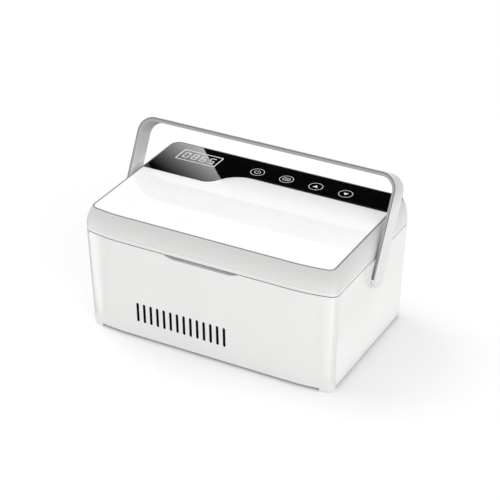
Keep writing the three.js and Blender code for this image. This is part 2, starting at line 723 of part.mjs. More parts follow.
/** One battery cell with its raised contact, turned end for end on every second place. */
function batteryCell(place) {
  const half = (CELL_LENGTH + CELL_NUB_HEIGHT) / 2;
  const y = cellY(place);
  const turned = place % 2 === 1;
  const can = turned ? [half - CELL_LENGTH, half] : [-half, CELL_LENGTH - half];
  const nub = turned ? [-half, 0] : [0, half];
  const shift = ([low, high]) => [batteryX + low, batteryX + high];
  return join(rod(CELL_RADIUS, shift(can), y, cellZ), rod(CELL_NUB_RADIUS, shift(nub), y, cellZ));
}

/** The power socket, with its bore and centre pin open to the rear. */
function powerSocket() {
  const faceY = halfDepth - TAPER_DEPTH;
  const z = socketZ + SOCKET_HEIGHT / 2;
  const bodyX = around(socketX, SOCKET_WIDTH);
  const body = block(bodyX, [faceY - SOCKET_LENGTH, faceY], around(z, SOCKET_HEIGHT));
  const bore = spigot(SOCKET_BORE_RADIUS, socketX, [faceY - SOCKET_BORE_DEPTH, faceY + OVERCUT], z);
  const pinY = [faceY - SOCKET_BORE_DEPTH - SEAT_OVERLAP, faceY - SEAT_OVERLAP];
  const pin = spigot(SOCKET_PIN_RADIUS, socketX, pinY, z);
  return join(cut(body, bore), pin);
}

/** The lid's outer frame: rim, flank, deck, screw posts and hinge barrel. */
function lidFrame() {
  let frame = lidSkin(lidZ, topZ - LID_CREST_DROP, 0);
  frame = cut(frame, lidSkin(lidZ - OVERCUT, deckZ, WALL));
  const panelSeat = [deckTopZ, topZ + OVERCUT];
  frame = cut(frame, pad(panelHalfX + CLEAR, panelHalfY + CLEAR, panelRadius + CLEAR, panelSeat));
  const barrel = rod(HINGE_RADIUS, around(0, HINGE_LENGTH), hingeY, hingeZ);
  frame = join(frame, barrel);
  for (const [x, y] of corners(lidScrewX, LID_SCREW_Y)) {
    frame = join(frame, post(LID_POST_RADIUS, x, y, [lidPlateTopZ + CLEAR, deckZ + SEAT_OVERLAP]));
    frame = cut(frame, post(screwHoleRadius, x, y, [lidPlateZ, lidPlateTopZ + SCREW_LENGTH], SCREW_SIDES));
  }
  const board = controlBoardSpan();
  const ribZ = [controlBoardTopZ + CLEAR, deckZ + SEAT_OVERLAP];
  for (const x of [board.x[0] + CONTROL_RIB / 2, board.x[1] - CONTROL_RIB / 2]) {
    frame = join(frame, block(around(x, CONTROL_RIB), board.y, ribZ));
  }
  const window = block(
    [board.x[0] + CONTROL_RIB + WINDOW_MARGIN, board.x[1] - CONTROL_RIB - WINDOW_MARGIN],
    [board.y[0] + WINDOW_MARGIN, board.y[1] - WINDOW_MARGIN],
    [deckZ - OVERCUT, deckTopZ + OVERCUT],
  );
  frame = cut(frame, window);
  for (const centre of knuckleCentres) {
    frame = cut(frame, rod(HINGE_RADIUS + CLEAR, around(centre, KNUCKLE_LENGTH + 2 * CLEAR), hingeY, hingeZ));
  }
  return cut(frame, rod(HINGE_PIN_RADIUS + CLEAR, around(0, HINGE_LENGTH - HINGE_PIN_END), hingeY, hingeZ));
}

/** The outline of the black panel, run out past the edge of the top. */
function controlShape() {
  const deepY = panelHalfY - CONTROL_DEPTH_DISPLAY;
  const slimY = panelHalfY - CONTROL_DEPTH_KEYS;
  const turn = THREE.MathUtils.degToRad(CONTROL_STEP_DEGREES);
  const radius = CONTROL_STEP_RADIUS;
  const straightRise = slimY - deepY - 2 * radius * (1 - Math.cos(turn));
  const halfRun = radius * Math.sin(turn) + straightRise / Math.tan(turn) / 2;
  const edgeX = halfWidth + OVERCUT;
  const edgeY = halfDepth + OVERCUT;
  const shape = new THREE.Shape();
  shape.moveTo(-edgeX, deepY);
  shape.lineTo(controlStepX - halfRun, deepY);
  shape.absarc(controlStepX - halfRun, deepY + radius, radius, -Math.PI / 2, turn - Math.PI / 2);
  shape.absarc(controlStepX + halfRun, slimY - radius, radius, Math.PI / 2 + turn, Math.PI / 2, true);
  shape.lineTo(edgeX, slimY);
  shape.lineTo(edgeX, edgeY);
  shape.lineTo(-edgeX, edgeY);
  return shape;
}

/** The key centres along the panel. */
const keyWords = ['power', 'mode', 'up', 'down'];
const lastKeyX = panelHalfX - KEY_INSET;
const keyCentres = keyWords.map((_, place) => lastKeyX - (keyWords.length - 1 - place) * KEY_PITCH);

/** The whole top panel as one slab, before it is split in two colours. */
function wholePanel() {
  return pad(panelHalfX, panelHalfY, panelRadius, [panelZ, topZ]);
}

/** The glossy white part of the top. */
function topPanel() {
  const black = slab(controlShape(), [panelZ - OVERCUT, topZ + OVERCUT]);
  return cut(wholePanel(), black.translate([CLEAR, -CLEAR, 0]));
}

/** The black part of the top, with holes for the keys. */
function controlPanel() {
  const through = [panelZ - OVERCUT, topZ + OVERCUT];
  const black = slab(controlShape(), through);
  const holes = keyCentres.map((x) => post(KEY_RADIUS + CLEAR, x, keyY, through, KEY_SIDES));
  return cut(wholePanel().intersect(black), ...holes);
}

/** One key: a flush cap, a flange that keeps it in, and a stem over its switch. */
function key(x) {
  return join(
    post(KEY_RADIUS, x, keyY, [keyFlangeZ, topZ], KEY_SIDES),
    post(KEY_RADIUS + KEY_FLANGE, x, keyY, [keyFlangeZ, keyFlangeTopZ], KEY_SIDES),
    post(KEY_STEM_RADIUS, x, keyY, [keyStemZ, keyFlangeTopZ]),
  );
}

/** The switch under one key. */
function tactSwitch(x) {
  return join(
    block(around(x, SWITCH_SIDE), around(keyY, SWITCH_SIDE), [switchZ, switchTopZ]),
    post(SWITCH_PLUNGER_RADIUS, x, keyY, [switchZ, plungerTopZ]),
  );
}

/** The extent of the control board: it carries the display and every key. */
function controlBoardSpan() {
  const keyReach = KEY_RADIUS + KEY_FLANGE + CONTROL_BOARD_MARGIN + CONTROL_RIB;
  const displayReach = DISPLAY_WIDTH / 2 + CONTROL_BOARD_MARGIN + CONTROL_RIB;
  const halfY = Math.max(DISPLAY_LENGTH / 2, KEY_RADIUS + KEY_FLANGE) + CONTROL_BOARD_MARGIN;
  return {
    x: [displayX - displayReach, keyCentres[keyCentres.length - 1] + keyReach],
    y: [keyY - halfY, keyY + halfY],
  };
}

/** The lid's inner plate, with the hollow plug that closes the chamber. */
function lidLiner() {
  const edge = lidRing(lidZ, WALL + CLEAR);
  let plate = pad(edge.halfX, edge.halfY, edge.radius, [lidPlateZ, lidPlateTopZ]);
  plate = cut(plate, block(around(0, CASE_WIDTH), [lidPlateRearY, CASE_DEPTH], [0, topZ]));
  plate = join(plate, pad(plugHalfX, plugHalfY, CHAMBER_RADIUS, [seamZ - PLUG_REACH, lidPlateTopZ]));
  const hollowX = plugHalfX - PLUG_WALL;
  const hollowY = plugHalfY - PLUG_WALL;
  const hollowZ = seamZ - PLUG_REACH + PLUG_WALL;
  plate = cut(plate, pad(hollowX, hollowY, CHAMBER_RADIUS - PLUG_WALL, [hollowZ, topZ]));
  for (const [x, y] of corners(lidScrewX, LID_SCREW_Y)) {
    plate = cut(
      plate,
      post(screwHoleRadius, x, y, [0, topZ], SCREW_SIDES),
      post(screwSinkRadius, x, y, [0, lidPlateZ + SCREW_HEAD + CLEAR], SCREW_SIDES),
    );
  }
  return plate;
}

/** The foam in the lid. */
function lidInsulation() {
  const inset = PLUG_WALL + CLEAR;
  const z = seamZ - PLUG_REACH + PLUG_WALL + CLEAR;
  return pad(plugHalfX - inset, plugHalfY - inset, CHAMBER_RADIUS - inset, [z, z + LID_FOAM_HEIGHT]);
}

/** The seal round the plug, which meets the liner's flange. */
function lidGasket() {
  const range = [lidZ, lidPlateZ - CLEAR];
  const innerX = plugHalfX + CLEAR;
  const innerY = plugHalfY + CLEAR;
  const outer = pad(innerX + GASKET_WIDTH, innerY + GASKET_WIDTH, CHAMBER_RADIUS + GASKET_WIDTH, range);
  return cut(outer, pad(innerX, innerY, CHAMBER_RADIUS + CLEAR, [0, topZ]));
}

/** The bail handle, upright about its own pivot line. */
function bailHandle() {
  const inner = armFaceX;
  const outer = armOuterX;
  const round = HANDLE_WIDTH / 2;
  const loop = new THREE.Shape();
  loop.moveTo(outer, -round);
  loop.lineTo(outer, HANDLE_REACH - HANDLE_CORNER);
  loop.absarc(outer - HANDLE_CORNER, HANDLE_REACH - HANDLE_CORNER, HANDLE_CORNER, 0, Math.PI / 2);
  loop.absarc(HANDLE_CORNER - outer, HANDLE_REACH - HANDLE_CORNER, HANDLE_CORNER, Math.PI / 2, Math.PI);
  loop.lineTo(-outer, -round);
  loop.lineTo(-inner, -round);
  const innerCorner = HANDLE_CORNER - HANDLE_THICKNESS;
  const innerZ = HANDLE_REACH - HANDLE_THICKNESS - innerCorner;
  loop.absarc(innerCorner - inner, innerZ, innerCorner, Math.PI, Math.PI / 2, true);
  loop.absarc(inner - innerCorner, innerZ, innerCorner, Math.PI / 2, 0, true);
  loop.lineTo(inner, -round);
  const strap = wallCut(loop, around(0, HANDLE_WIDTH), 2 * ARC_STEPS);
  const side = new THREE.Shape();
  side.absarc(0, 0, round, Math.PI, 2 * Math.PI);
  side.lineTo(round, HANDLE_REACH + OVERCUT);
  side.lineTo(-round, HANDLE_REACH + OVERCUT);
  const handle = strap.intersect(sideCut(side, around(0, 3 * CASE_WIDTH), 2 * ARC_STEPS));
  const boreEnd = inner + HANDLE_PIN_GRIP + CLEAR;
  const bores = [-1, 1].map((hand) => rod(boreRadius, onSide(hand, inner - OVERCUT, boreEnd), 0, 0));
  return cut(handle, ...bores);
}

/** One shoulder pin of the handle, with its head inside the wall. */
function handlePin(side) {
  const wallX = bodyRing(pivotZ - HANDLE_PIN_HEAD_RADIUS, WALL).halfX;
  const headX = wallX - CLEAR - HANDLE_PIN_HEAD;
  return join(
    rod(HANDLE_PIN_HEAD_RADIUS, onSide(side, headX, headX + HANDLE_PIN_HEAD), 0, pivotZ),
    rod(HANDLE_PIN_RADIUS, onSide(side, headX, armFaceX + HANDLE_PIN_GRIP), 0, pivotZ),
  );
}

// Finishes, as colour, roughness and metalness
const FINISHES = {
  shellWhite: ['#e9e9e8', 0.4, 0],
  lidGrey: ['#d9dad9', 0.42, 0],
  glossWhite: ['#fbfbfa', 0.12, 0],
  glossBlack: ['#0b0b0c', 0.1, 0],
  handleGrey: ['#dcdddc', 0.42, 0],
  linerGrey: ['#cfd3d6', 0.45, 0],
  foam: ['#e8e2cf', 0.95, 0],
  rubberGrey: ['#8f9496', 0.85, 0],
  aluminium: ['#c3c6c9', 0.35, 0.9],
  steel: ['#a9adb1', 0.3, 1],
  ceramic: ['#f1efe8', 0.6, 0],
  blackPlastic: ['#1c1d1f', 0.55, 0],
  boardGreen: ['#1f5b3a', 0.5, 0],
  cellBlue: ['#2f6fb0', 0.4, 0.1],
};

/** Adds one named piece to a group, with a material of its own. */
function addPiece(group, name, finish, solid) {
  const [color, roughness, metalness] = FINISHES[finish];
  const mesh = new THREE.Mesh(
    toGeometry(solid),
    new THREE.MeshStandardMaterial({ color, roughness, metalness }),
  );
  mesh.name = name;
  group.add(mesh);
}

// The body and what stands in it
const body = new THREE.Group();
addPiece(body, 'body_shell', 'shellWhite', bodyShell());
addPiece(body, 'base_cover', 'shellWhite', baseCover());
addPiece(body, 'chamber_liner', 'linerGrey', chamberLiner());
addPiece(body, 'insulation_jacket', 'foam', insulationJacket());
addPiece(body, 'cold_plate', 'aluminium', coldPlate());
addPiece(body, 'heat_sink', 'aluminium', heatSink());
addPiece(body, 'fan_frame', 'blackPlastic', fanFrame());
addPiece(body, 'fan_rotor', 'blackPlastic', fanRotor());
addPiece(body, 'battery_tray', 'blackPlastic', batteryTray());
addPiece(body, 'dc_socket', 'blackPlastic', powerSocket());
const coolingModule = block(around(COOLER_X, MODULE_SIDE), around(0, MODULE_SIDE), [moduleZ, moduleTopZ]);
addPiece(body, 'peltier_module', 'ceramic', coolingModule);
const mainBoard = block(
  around(boardX, BOARD_WIDTH),
  around(boardY, BOARD_LENGTH),
  [boardZ, boardZ + BOARD_THICKNESS],
);
addPiece(body, 'main_board', 'boardGreen', mainBoard);
const probe = rod(
  PROBE_RADIUS,
  around(PROBE_X, PROBE_LENGTH),
  chamberHalfY - CLEAR - PROBE_RADIUS,
  seamZ - PROBE_DROP,
  SCREW_SIDES,
);
addPiece(body, 'temperature_probe', 'steel', probe);
const catchPlate = block(
  around(0, CATCH_LENGTH),
  around(CATCH_INSET - halfDepth, CATCH_WIDTH),
  [seamZ - CATCH_PLATE_THICKNESS, seamZ],
);
addPiece(body, 'catch_plate', 'steel', catchPlate);
const hingePin = rod(HINGE_PIN_RADIUS, around(0, HINGE_LENGTH - HINGE_PIN_END - 2 * CLEAR), hingeY, hingeZ);
addPiece(body, 'hinge_pin', 'steel', hingePin);
addPiece(body, 'handle_pin_left', 'steel', handlePin(-1));
addPiece(body, 'handle_pin_right', 'steel', handlePin(1));
for (let place = 0; place < CELL_COUNT; place += 1) {
  addPiece(body, `battery_cell_${place + 1}`, 'cellBlue', batteryCell(place));
}
corners(baseScrewX, baseScrewY).forEach(([x, y], place) => {
  addPiece(body, `base_screw_${place + 1}`, 'steel', screwUp(x, y, baseTopZ - SCREW_HEAD / 2 - CLEAR));
});
fanScrewPlaces().forEach(([x, y], place) => {
  addPiece(body, `fan_screw_${place + 1}`, 'steel', screwUp(x, y, baseTopZ - SCREW_HEAD / 2 - CLEAR));
});
clampPlaces.forEach((x, place) => {
  const length = coldPlateZ + CLAMP_SCREW_GRIP - sinkBaseZ + CLEAR;
  addPiece(body, `clamp_screw_${place + 1}`, 'steel', screwUp(x, 0, sinkBaseZ - CLEAR, length));
});

// The lid and what it carries
const lid = new THREE.Group();
addPiece(lid, 'lid_frame', 'lidGrey', lidFrame());
addPiece(lid, 'top_panel', 'glossWhite', topPanel());
addPiece(lid, 'control_panel', 'glossBlack', controlPanel());
addPiece(lid, 'lid_liner', 'linerGrey', lidLiner());
addPiece(lid, 'lid_insulation', 'foam', lidInsulation());
addPiece(lid, 'lid_gasket', 'rubberGrey', lidGasket());
const boardSpan = controlBoardSpan();
const controlBoard = block(boardSpan.x, boardSpan.y, [controlBoardZ, controlBoardTopZ]);
addPiece(lid, 'control_board', 'boardGreen', controlBoard);
const display = block(
  around(displayX, DISPLAY_WIDTH),
  around(keyY, DISPLAY_LENGTH),
  [controlBoardTopZ + CLEAR, panelZ - CLEAR],
);
addPiece(lid, 'display_module', 'blackPlastic', display);
const magnet = block(
  around(0, CATCH_LENGTH),
  around(CATCH_INSET - halfDepth, CATCH_WIDTH),
  [lidZ, lidPlateZ - CLEAR],
);
addPiece(lid, 'catch_magnet', 'steel', magnet);
keyWords.forEach((word, place) => {
  addPiece(lid, `${word}_key`, 'glossBlack', key(keyCentres[place]));
  addPiece(lid, `${word}_tact_switch`, 'blackPlastic', tactSwitch(keyCentres[place]));
});
corners(lidScrewX, LID_SCREW_Y).forEach(([x, y], place) => {
  addPiece(lid, `lid_screw_${place + 1}`, 'steel', screwUp(x, y, lidPlateZ + SCREW_HEAD));
});

// The handle leans back on its pins
const handle = new THREE.Group();
handle.position.z = pivotZ;
handle.rotation.x = -THREE.MathUtils.degToRad(HANDLE_LEAN_DEGREES);
addPiece(handle, 'handle', 'handleGrey', bailHandle());

const coolingCase = new THREE.Group();
coolingCase.add(body, lid, handle);

export default coolingCase;
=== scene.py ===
"""Insulin cooling case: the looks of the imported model.

Metres, +Z up, front towards -Y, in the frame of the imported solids. Each sub-assembly is a class that
models its pieces with bmesh operators and dresses them in procedural finishes.
"""

import json
import logging
import math
from abc import ABC, abstractmethod
from dataclasses import dataclass, field
from enum import Enum
from functools import cached_property
from typing import Callable, Iterable, Optional, Sequence

import bmesh
import bpy
from mathutils import Matrix, Vector


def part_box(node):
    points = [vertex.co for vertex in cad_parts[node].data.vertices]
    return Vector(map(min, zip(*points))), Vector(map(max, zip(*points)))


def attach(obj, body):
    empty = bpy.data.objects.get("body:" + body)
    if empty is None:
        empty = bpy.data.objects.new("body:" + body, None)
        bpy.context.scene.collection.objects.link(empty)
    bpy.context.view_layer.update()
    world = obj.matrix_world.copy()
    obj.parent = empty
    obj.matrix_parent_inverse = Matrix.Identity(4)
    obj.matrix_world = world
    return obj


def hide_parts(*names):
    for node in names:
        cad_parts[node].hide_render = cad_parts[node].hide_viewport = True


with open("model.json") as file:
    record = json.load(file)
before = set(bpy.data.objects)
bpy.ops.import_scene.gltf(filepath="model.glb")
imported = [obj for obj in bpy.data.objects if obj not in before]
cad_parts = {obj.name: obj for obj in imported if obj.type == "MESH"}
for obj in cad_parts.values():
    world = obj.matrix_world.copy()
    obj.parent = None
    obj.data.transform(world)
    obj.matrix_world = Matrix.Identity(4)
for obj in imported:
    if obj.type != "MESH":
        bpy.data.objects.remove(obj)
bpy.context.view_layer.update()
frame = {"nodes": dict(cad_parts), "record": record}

LOG = logging.getLogger("cooling_case")
MM = 0.001

# Gaps between pieces, how far a cutter stands proud, and the thickness of printing either side of a face
CLEAR = 0.3 * MM
OVERCUT = 2 * MM
INK = 0.03 * MM

# Steps of round corners, fillets and turned forms, the least corner radius and the full round of a slot
CORNER_STEPS = 10
FILLET_STEPS = 3
ROUND_STEPS = 48
LEAST_RADIUS = 0.2 * MM
SLOT_ROUND = 0.49
SLOT_STEPS = 6
SMOOTH_ANGLE = math.radians(38)

# Distances at which points count as one, or as lying on a plane
NEAR = 1e-6
HAIR = 1e-7
LOFT_MERGE = 0.01 * MM
TURN_MERGE = 0.002 * MM

# Shares of a face's normal from which it counts as facing along a direction, and up to which as across it
FACING = 0.9
ACROSS = 0.5

# The slight roundness of the front towards its two ends
CROWN_START = 86 * MM
CROWN_STEP = 5.5 * MM
CROWN_STEPS = 8
CROWN_RADIUS = 168 * MM
CROWN_DEPTH = 84.7 * MM

# Short names of types
Colour = tuple[float, float, float]
Edge = bmesh.types.BMEdge
Material = bpy.types.Material
Outline = Sequence[Sequence[float]]
Pair = tuple[float, float]
Point = Sequence[float]
Socket = bpy.types.NodeSocket
Patterns = tuple[Socket, Optional[Socket], Socket]


class Body(Enum):
    """The bodies that pieces ride on."""

    CASE = "case"
    LID = "lid"
    HANDLE = "handle"
    POWER = "power_button"
    MODE = "mode_button"
    UP = "up_button"
    DOWN = "down_button"


class Axis(Enum):
    """The three directions."""

    X = 0
    Y = 1
    Z = 2

    @property
    def turn(self) -> Matrix:
        """The turn that lays an upright rod along this direction."""
        about = {Axis.X: (math.pi / 2, 3, "Y"), Axis.Y: (-math.pi / 2, 3, "X"), Axis.Z: (0, 3, "Z")}
        return Matrix.Rotation(*about[self])


class Carve(Enum):
    """What a tool does to a form."""

    CUT = "DIFFERENCE"
    JOIN = "UNION"


# Plans and forms


def middle(low: Point, high: Point) -> list[float]:
    """The point half way between two corners."""
    return [(first + second) / 2 for first, second in zip(low, high)]


def run(edge: Edge, axis: Axis) -> float:
    """How far an edge runs along a direction."""
    return abs(edge.verts[0].co[axis.value] - edge.verts[1].co[axis.value])


def lies_at(edge: Edge, axis: Axis, level: float) -> bool:
    """Whether an edge lies on the plane at a level along a direction."""
    return all(abs(vert.co[axis.value] - level) < NEAR for vert in edge.verts)


@dataclass(frozen=True)
class Plan:
    """A rectangle with round corners, centred on the origin."""

    half_x: float
    half_y: float
    radius: float
    front: Optional[float] = None

    def corner(self, side_y: int) -> float:
        """The radius of the rear corners, or of the front ones where they have their own."""
        return self.radius if side_y > 0 or self.front is None else self.front

    def inset(self, distance: float) -> "Plan":
        """The same outline drawn in by a distance."""
        radius, front = (max(self.corner(side_y) - distance, LEAST_RADIUS) for side_y in (1, -1))
        return Plan(self.half_x - distance, self.half_y - distance, radius, front)

    def centre(self, side_x: int, side_y: int) -> Vector:
        """The centre of one corner's arc."""
        radius = self.corner(side_y)
        return Vector((side_x * (self.half_x - radius), side_y * (self.half_y - radius), 0))


@dataclass(frozen=True)
class Ring:
    """A plan at a height."""

    plan: Plan
    z: float


def quarter(plan: Plan, z: float, radius: float, start: float, end: float, in_z: int,
            side: int = 1) -> list[Ring]:
    """Rings of a fillet on a swept form.

    Args:
        plan: The outline that the fillet is tangent to.
        z: The height that the fillet is tangent to.
        radius: The fillet's radius.
        start: The first angle in degrees, 0 at the upright side and 90 at the flat side.
        end: The last angle in degrees.
        in_z: 1 where the flat side is above the upright one, -1 where it is below.
        side: 1 where the flat side lies inside the outline, -1 where it lies outside.

    Returns:
        The rings from the first angle to the last.
    """
    rings = []
    for step in range(FILLET_STEPS + 1):
        angle = math.radians(start + (end - start) * step / FILLET_STEPS)
        inset = side * radius * (1 - math.cos(angle))
        drop = radius * (1 - math.sin(angle))
        rings.append(Ring(plan.inset(inset), z - in_z * drop))
    return rings


class Form:
    """A mesh that is being modelled."""

    def __init__(self) -> None:
        """Starts empty."""
        self.bm = bmesh.new()

    @classmethod
    def block(cls, low: Point, high: Point) -> "Form":
        """A box between two corners.

        Args:
            low: The lowest corner.
            high: The highest corner.

        Returns:
            The form.
        """
        form = cls()
        low_corner, high_corner = Vector(low), Vector(high)
        bmesh.ops.create_cube(form.bm, size=1)
        bmesh.ops.scale(form.bm, vec=high_corner - low_corner, verts=form.bm.verts)
        return form.shift(*((low_corner + high_corner) / 2))

    @classmethod
    def rod(cls, axis: Axis, radius: float, length: float, centre: Point, round_end: float = 0) -> "Form":
        """A round rod.

        Args:
            axis: The rod's direction.
            radius: Its radius.
            length: Its length.
            centre: Its middle.
            round_end: The fillet on both its rims, or 0 for none.

        Returns:
            The form.
        """
        form = cls()
        bmesh.ops.create_cone(form.bm, cap_ends=True, segments=ROUND_STEPS, radius1=radius, radius2=radius,
                              depth=length)
        if round_end > 0:
            form.round_edges(lambda edge: run(edge, Axis.Z) < length / 2, round_end)
        bmesh.ops.rotate(form.bm, cent=(0, 0, 0), matrix=axis.turn, verts=form.bm.verts)
        return form.shift(*centre)

    @classmethod
    def prism(cls, outline: Outline, depth: float, rounds: dict[int, float],
              steps: int = CORNER_STEPS) -> "Form":
        """A flat outline raised along Z.

        Args:
            outline: The outline's corners as (x, y), anticlockwise.
            depth: How far the outline is raised.
            rounds: The tangent length of the round at each corner that has one, by its number.
            steps: The number of steps in a round.

        Returns:
            The form, standing on z = 0.
        """
        form = cls()
        corners = [form.bm.verts.new((x, y, 0)) for x, y in outline]
        form.bm.faces.new(corners)
        for tangent in sorted(set(rounds.values())):
            chosen = [corners[place] for place, length in rounds.items() if length == tangent]
            bmesh.ops.bevel(form.bm, geom=chosen, offset=tangent, offset_type="OFFSET", segments=steps,
                            profile=0.5, affect="VERTICES", material=-1)
        made = bmesh.ops.extrude_face_region(form.bm, geom=list(form.bm.faces))
        raised = [item for item in made["geom"] if isinstance(item, bmesh.types.BMVert)]
        bmesh.ops.translate(form.bm, vec=(0, 0, depth), verts=raised)
        return form.face_outwards()

    @classmethod
    def loft(cls, rings: Sequence[Ring], endless: bool = False) -> "Form":
        """A skin through rounded rectangles, each ring drawn from the one before.

        Args:
            rings: The rings in order.
            endless: True where the last ring meets the first, so that the form is a closed band.

        Returns:
            The form, with a face on its first and last ring unless it is endless.
        """
        form = cls()
        first = rings[0]
        bmesh.ops.create_grid(form.bm, x_segments=1, y_segments=1, size=1)
        bmesh.ops.scale(form.bm, vec=(first.plan.half_x, first.plan.half_y, 1), verts=form.bm.verts)
        form.shift(z=first.z)
        for side_y in (-1, 1):
            corners = [vert for vert in form.bm.verts if vert.co.y * side_y > 0]
            bmesh.ops.bevel(form.bm, geom=corners, offset=first.plan.corner(side_y), offset_type="OFFSET",
                            segments=CORNER_STEPS, profile=0.5, affect="VERTICES", material=-1)
        form.bm.faces.ensure_lookup_table()
        start = face = form.bm.faces[0]
        for before, after in zip(rings, rings[1:]):
            made = bmesh.ops.extrude_face_region(form.bm, geom=[face])
            if face is not start:
                bmesh.ops.delete(form.bm, geom=[face], context="FACES_ONLY")
            face = next(item for item in made["geom"] if isinstance(item, bmesh.types.BMFace))
            form.draw_ring(face, before, after)
        if endless:
            bmesh.ops.delete(form.bm, geom=[start, face], context="FACES_ONLY")
            bmesh.ops.remove_doubles(form.bm, verts=form.bm.verts, dist=LOFT_MERGE)
        return form.face_outwards()

    @classmethod
    def frame(cls, outer: Plan, width: float, low: float, high: float) -> "Form":
        """A flat frame.

        Args:
            outer: Its outer outline.
            width: How wide its bars are.
            low: The height of its underside.
            high: The height of its top.

        Returns:
            The form.
        """
        inner = outer.inset(width)
        corners = ((outer, low), (outer, high), (inner, high), (inner, low), (outer, low))
        return cls.loft([Ring(plan, z) for plan, z in corners], endless=True)

    @classmethod
    def turned(cls, outline: Outline, angle: float = 2 * math.pi, steps: int = ROUND_STEPS) -> "Form":
        """A section in X and Z turned about Z.

        Args:
            outline: The section's corners as (radius, z), an open line where both its ends lie on the axis.
            angle: How far it is turned.
            steps: The number of steps.

        Returns:
            The form, with its ends closed where it isn't turned all the way.
        """
        form = cls()
        corners = [form.bm.verts.new((radius, 0, z)) for radius, z in outline]
        edges = [form.bm.edges.new(pair) for pair in zip(corners, corners[1:])]
        if outline[0][0] > 0:
            edges.append(form.bm.edges.new((corners[-1], corners[0])))
        whole = angle >= 2 * math.pi
        bmesh.ops.spin(form.bm, geom=[*corners, *edges], cent=(0, 0, 0), axis=(0, 0, 1), angle=angle,
                       steps=steps, use_merge=whole)
        bmesh.ops.remove_doubles(form.bm, verts=form.bm.verts, dist=TURN_MERGE)
        if not whole:
            bmesh.ops.holes_fill(form.bm, edges=[edge for edge in form.bm.edges if edge.is_boundary])
        return form.face_outwards()

    def draw_ring(self, face: bmesh.types.BMFace, before: Ring, after: Ring) -> None:
        """Moves the corners of an extruded face from one ring to the next.

        Args:
            face: The face, still on the first ring.
            before: The first ring.
            after: The next ring.
        """
        for side_x in (-1, 1):
            for side_y in (-1, 1):
                verts = [vert for vert in face.verts if vert.co.x * side_x > 0 and vert.co.y * side_y > 0]
                centre = before.plan.centre(side_x, side_y)
                share = after.plan.corner(side_y) / before.plan.corner(side_y)
                about = Matrix.Translation(-centre)
                bmesh.ops.scale(self.bm, vec=(share, share, 1), space=about, verts=verts)
                move = after.plan.centre(side_x, side_y) - centre
                move.z = after.z - before.z
                bmesh.ops.translate(self.bm, vec=move, verts=verts)

    def face_outwards(self) -> "Form":
        """Turns every face outwards."""
        bmesh.ops.recalc_face_normals(self.bm, faces=self.bm.faces)
        return self

    def round_edges(self, chosen: Callable[[Edge], bool], radius: float,
                    steps: int = FILLET_STEPS) -> "Form":
        """Rounds the edges that a test picks.

        Args:
            chosen: The test.
            radius: The fillet's radius.
            steps: The number of steps across the fillet.

        Returns:
            This form.
        """
        edges = [edge for edge in self.bm.edges if chosen(edge)]
        bmesh.ops.bevel(self.bm, geom=edges, offset=radius, offset_type="OFFSET", segments=steps,
                        profile=0.5, affect="EDGES", clamp_overlap=True, material=-1)
        return self

    def shift(self, x: float = 0, y: float = 0, z: float = 0) -> "Form":
        """Moves the form."""
        bmesh.ops.translate(self.bm, vec=(x, y, z), verts=self.bm.verts)
        return self

    def turn(self, angle: float, axis: Axis) -> "Form":
        """Turns the form about an axis through the origin.

        Args:
            angle: The angle in radians.
            axis: The axis.

        Returns:
            This form.
        """
        matrix = Matrix.Rotation(angle, 3, axis.name)
        bmesh.ops.rotate(self.bm, cent=(0, 0, 0), matrix=matrix, verts=self.bm.verts)
        return self

    def split(self, point: Point, normal: Point, snap: float, keep_all: bool) -> list[Edge]:
        """Splits every face along a plane.

        Args:
            point: A point on the plane.
            normal: The plane's normal.
            snap: The distance at which a point counts as on the plane.
            keep_all: False where only what lies on the normal's side is kept.

        Returns:
            The edges on the plane.
        """
        geom = [*self.bm.verts, *self.bm.edges, *self.bm.faces]
        made = bmesh.ops.bisect_plane(self.bm, geom=geom, dist=snap, plane_co=point, plane_no=normal,
                                      clear_inner=not keep_all)
        return [item for item in made["geom_cut"] if isinstance(item, Edge)]

    def keep_beyond(self, point: Point, normal: Point) -> "Form":
        """Keeps what lies on the normal's side of a plane, with the cut closed."""
        bmesh.ops.holes_fill(self.bm, edges=self.split(point, normal, HAIR, False))
        return self.face_outwards()

    def crown_front(self) -> "Form":
        """Draws the front back towards its two ends, which makes it a little convex there.

        Returns:
            This form.
        """
        for step in range(CROWN_STEPS):
            for side in (-1, 1):
                self.split((side * (CROWN_START + step * CROWN_STEP), 0, 0), (1, 0, 0), NEAR, True)
        for vert in self.bm.verts:
            beyond = abs(vert.co.x) - CROWN_START
            if beyond > 0 and vert.co.y < 0:
                share = 1 - beyond ** 2 / (2 * CROWN_RADIUS) / CROWN_DEPTH
                bmesh.ops.scale(self.bm, vec=(1, share, 1), verts=[vert])
        return self

    def add(self, *others: "Form") -> "Form":
        """Takes in other forms as they are.

        Args:
            others: The other forms.

        Returns:
            This form.
        """
        for other in others:
            mesh = other.to_mesh("part_of_form")
            self.bm.from_mesh(mesh)
            bpy.data.meshes.remove(mesh)
        return self

    def carve(self, action: Carve, *tools: "Form") -> "Form":
        """Cuts tools out of the form, or joins them to it.

        Args:
            action: What the tools do.
            tools: The tools, which don't overlap one another.

        Returns:
            This form.
        """
        base_object = self.to_object("carve_base")
        tool_object = tools[0].add(*tools[1:]).to_object("carve_tool")
        modifier = base_object.modifiers.new("carve", "BOOLEAN")
        modifier.operation = action.value
        modifier.solver = "EXACT"
        modifier.object = tool_object
        graph = bpy.context.evaluated_depsgraph_get()
        result = bpy.data.meshes.new_from_object(base_object.evaluated_get(graph))
        self.bm = bmesh.new()
        self.bm.from_mesh(result)
        for item in (base_object, tool_object):
            mesh = item.data
            bpy.data.objects.remove(item)
            bpy.data.meshes.remove(mesh)
        bpy.data.meshes.remove(result)
        return self

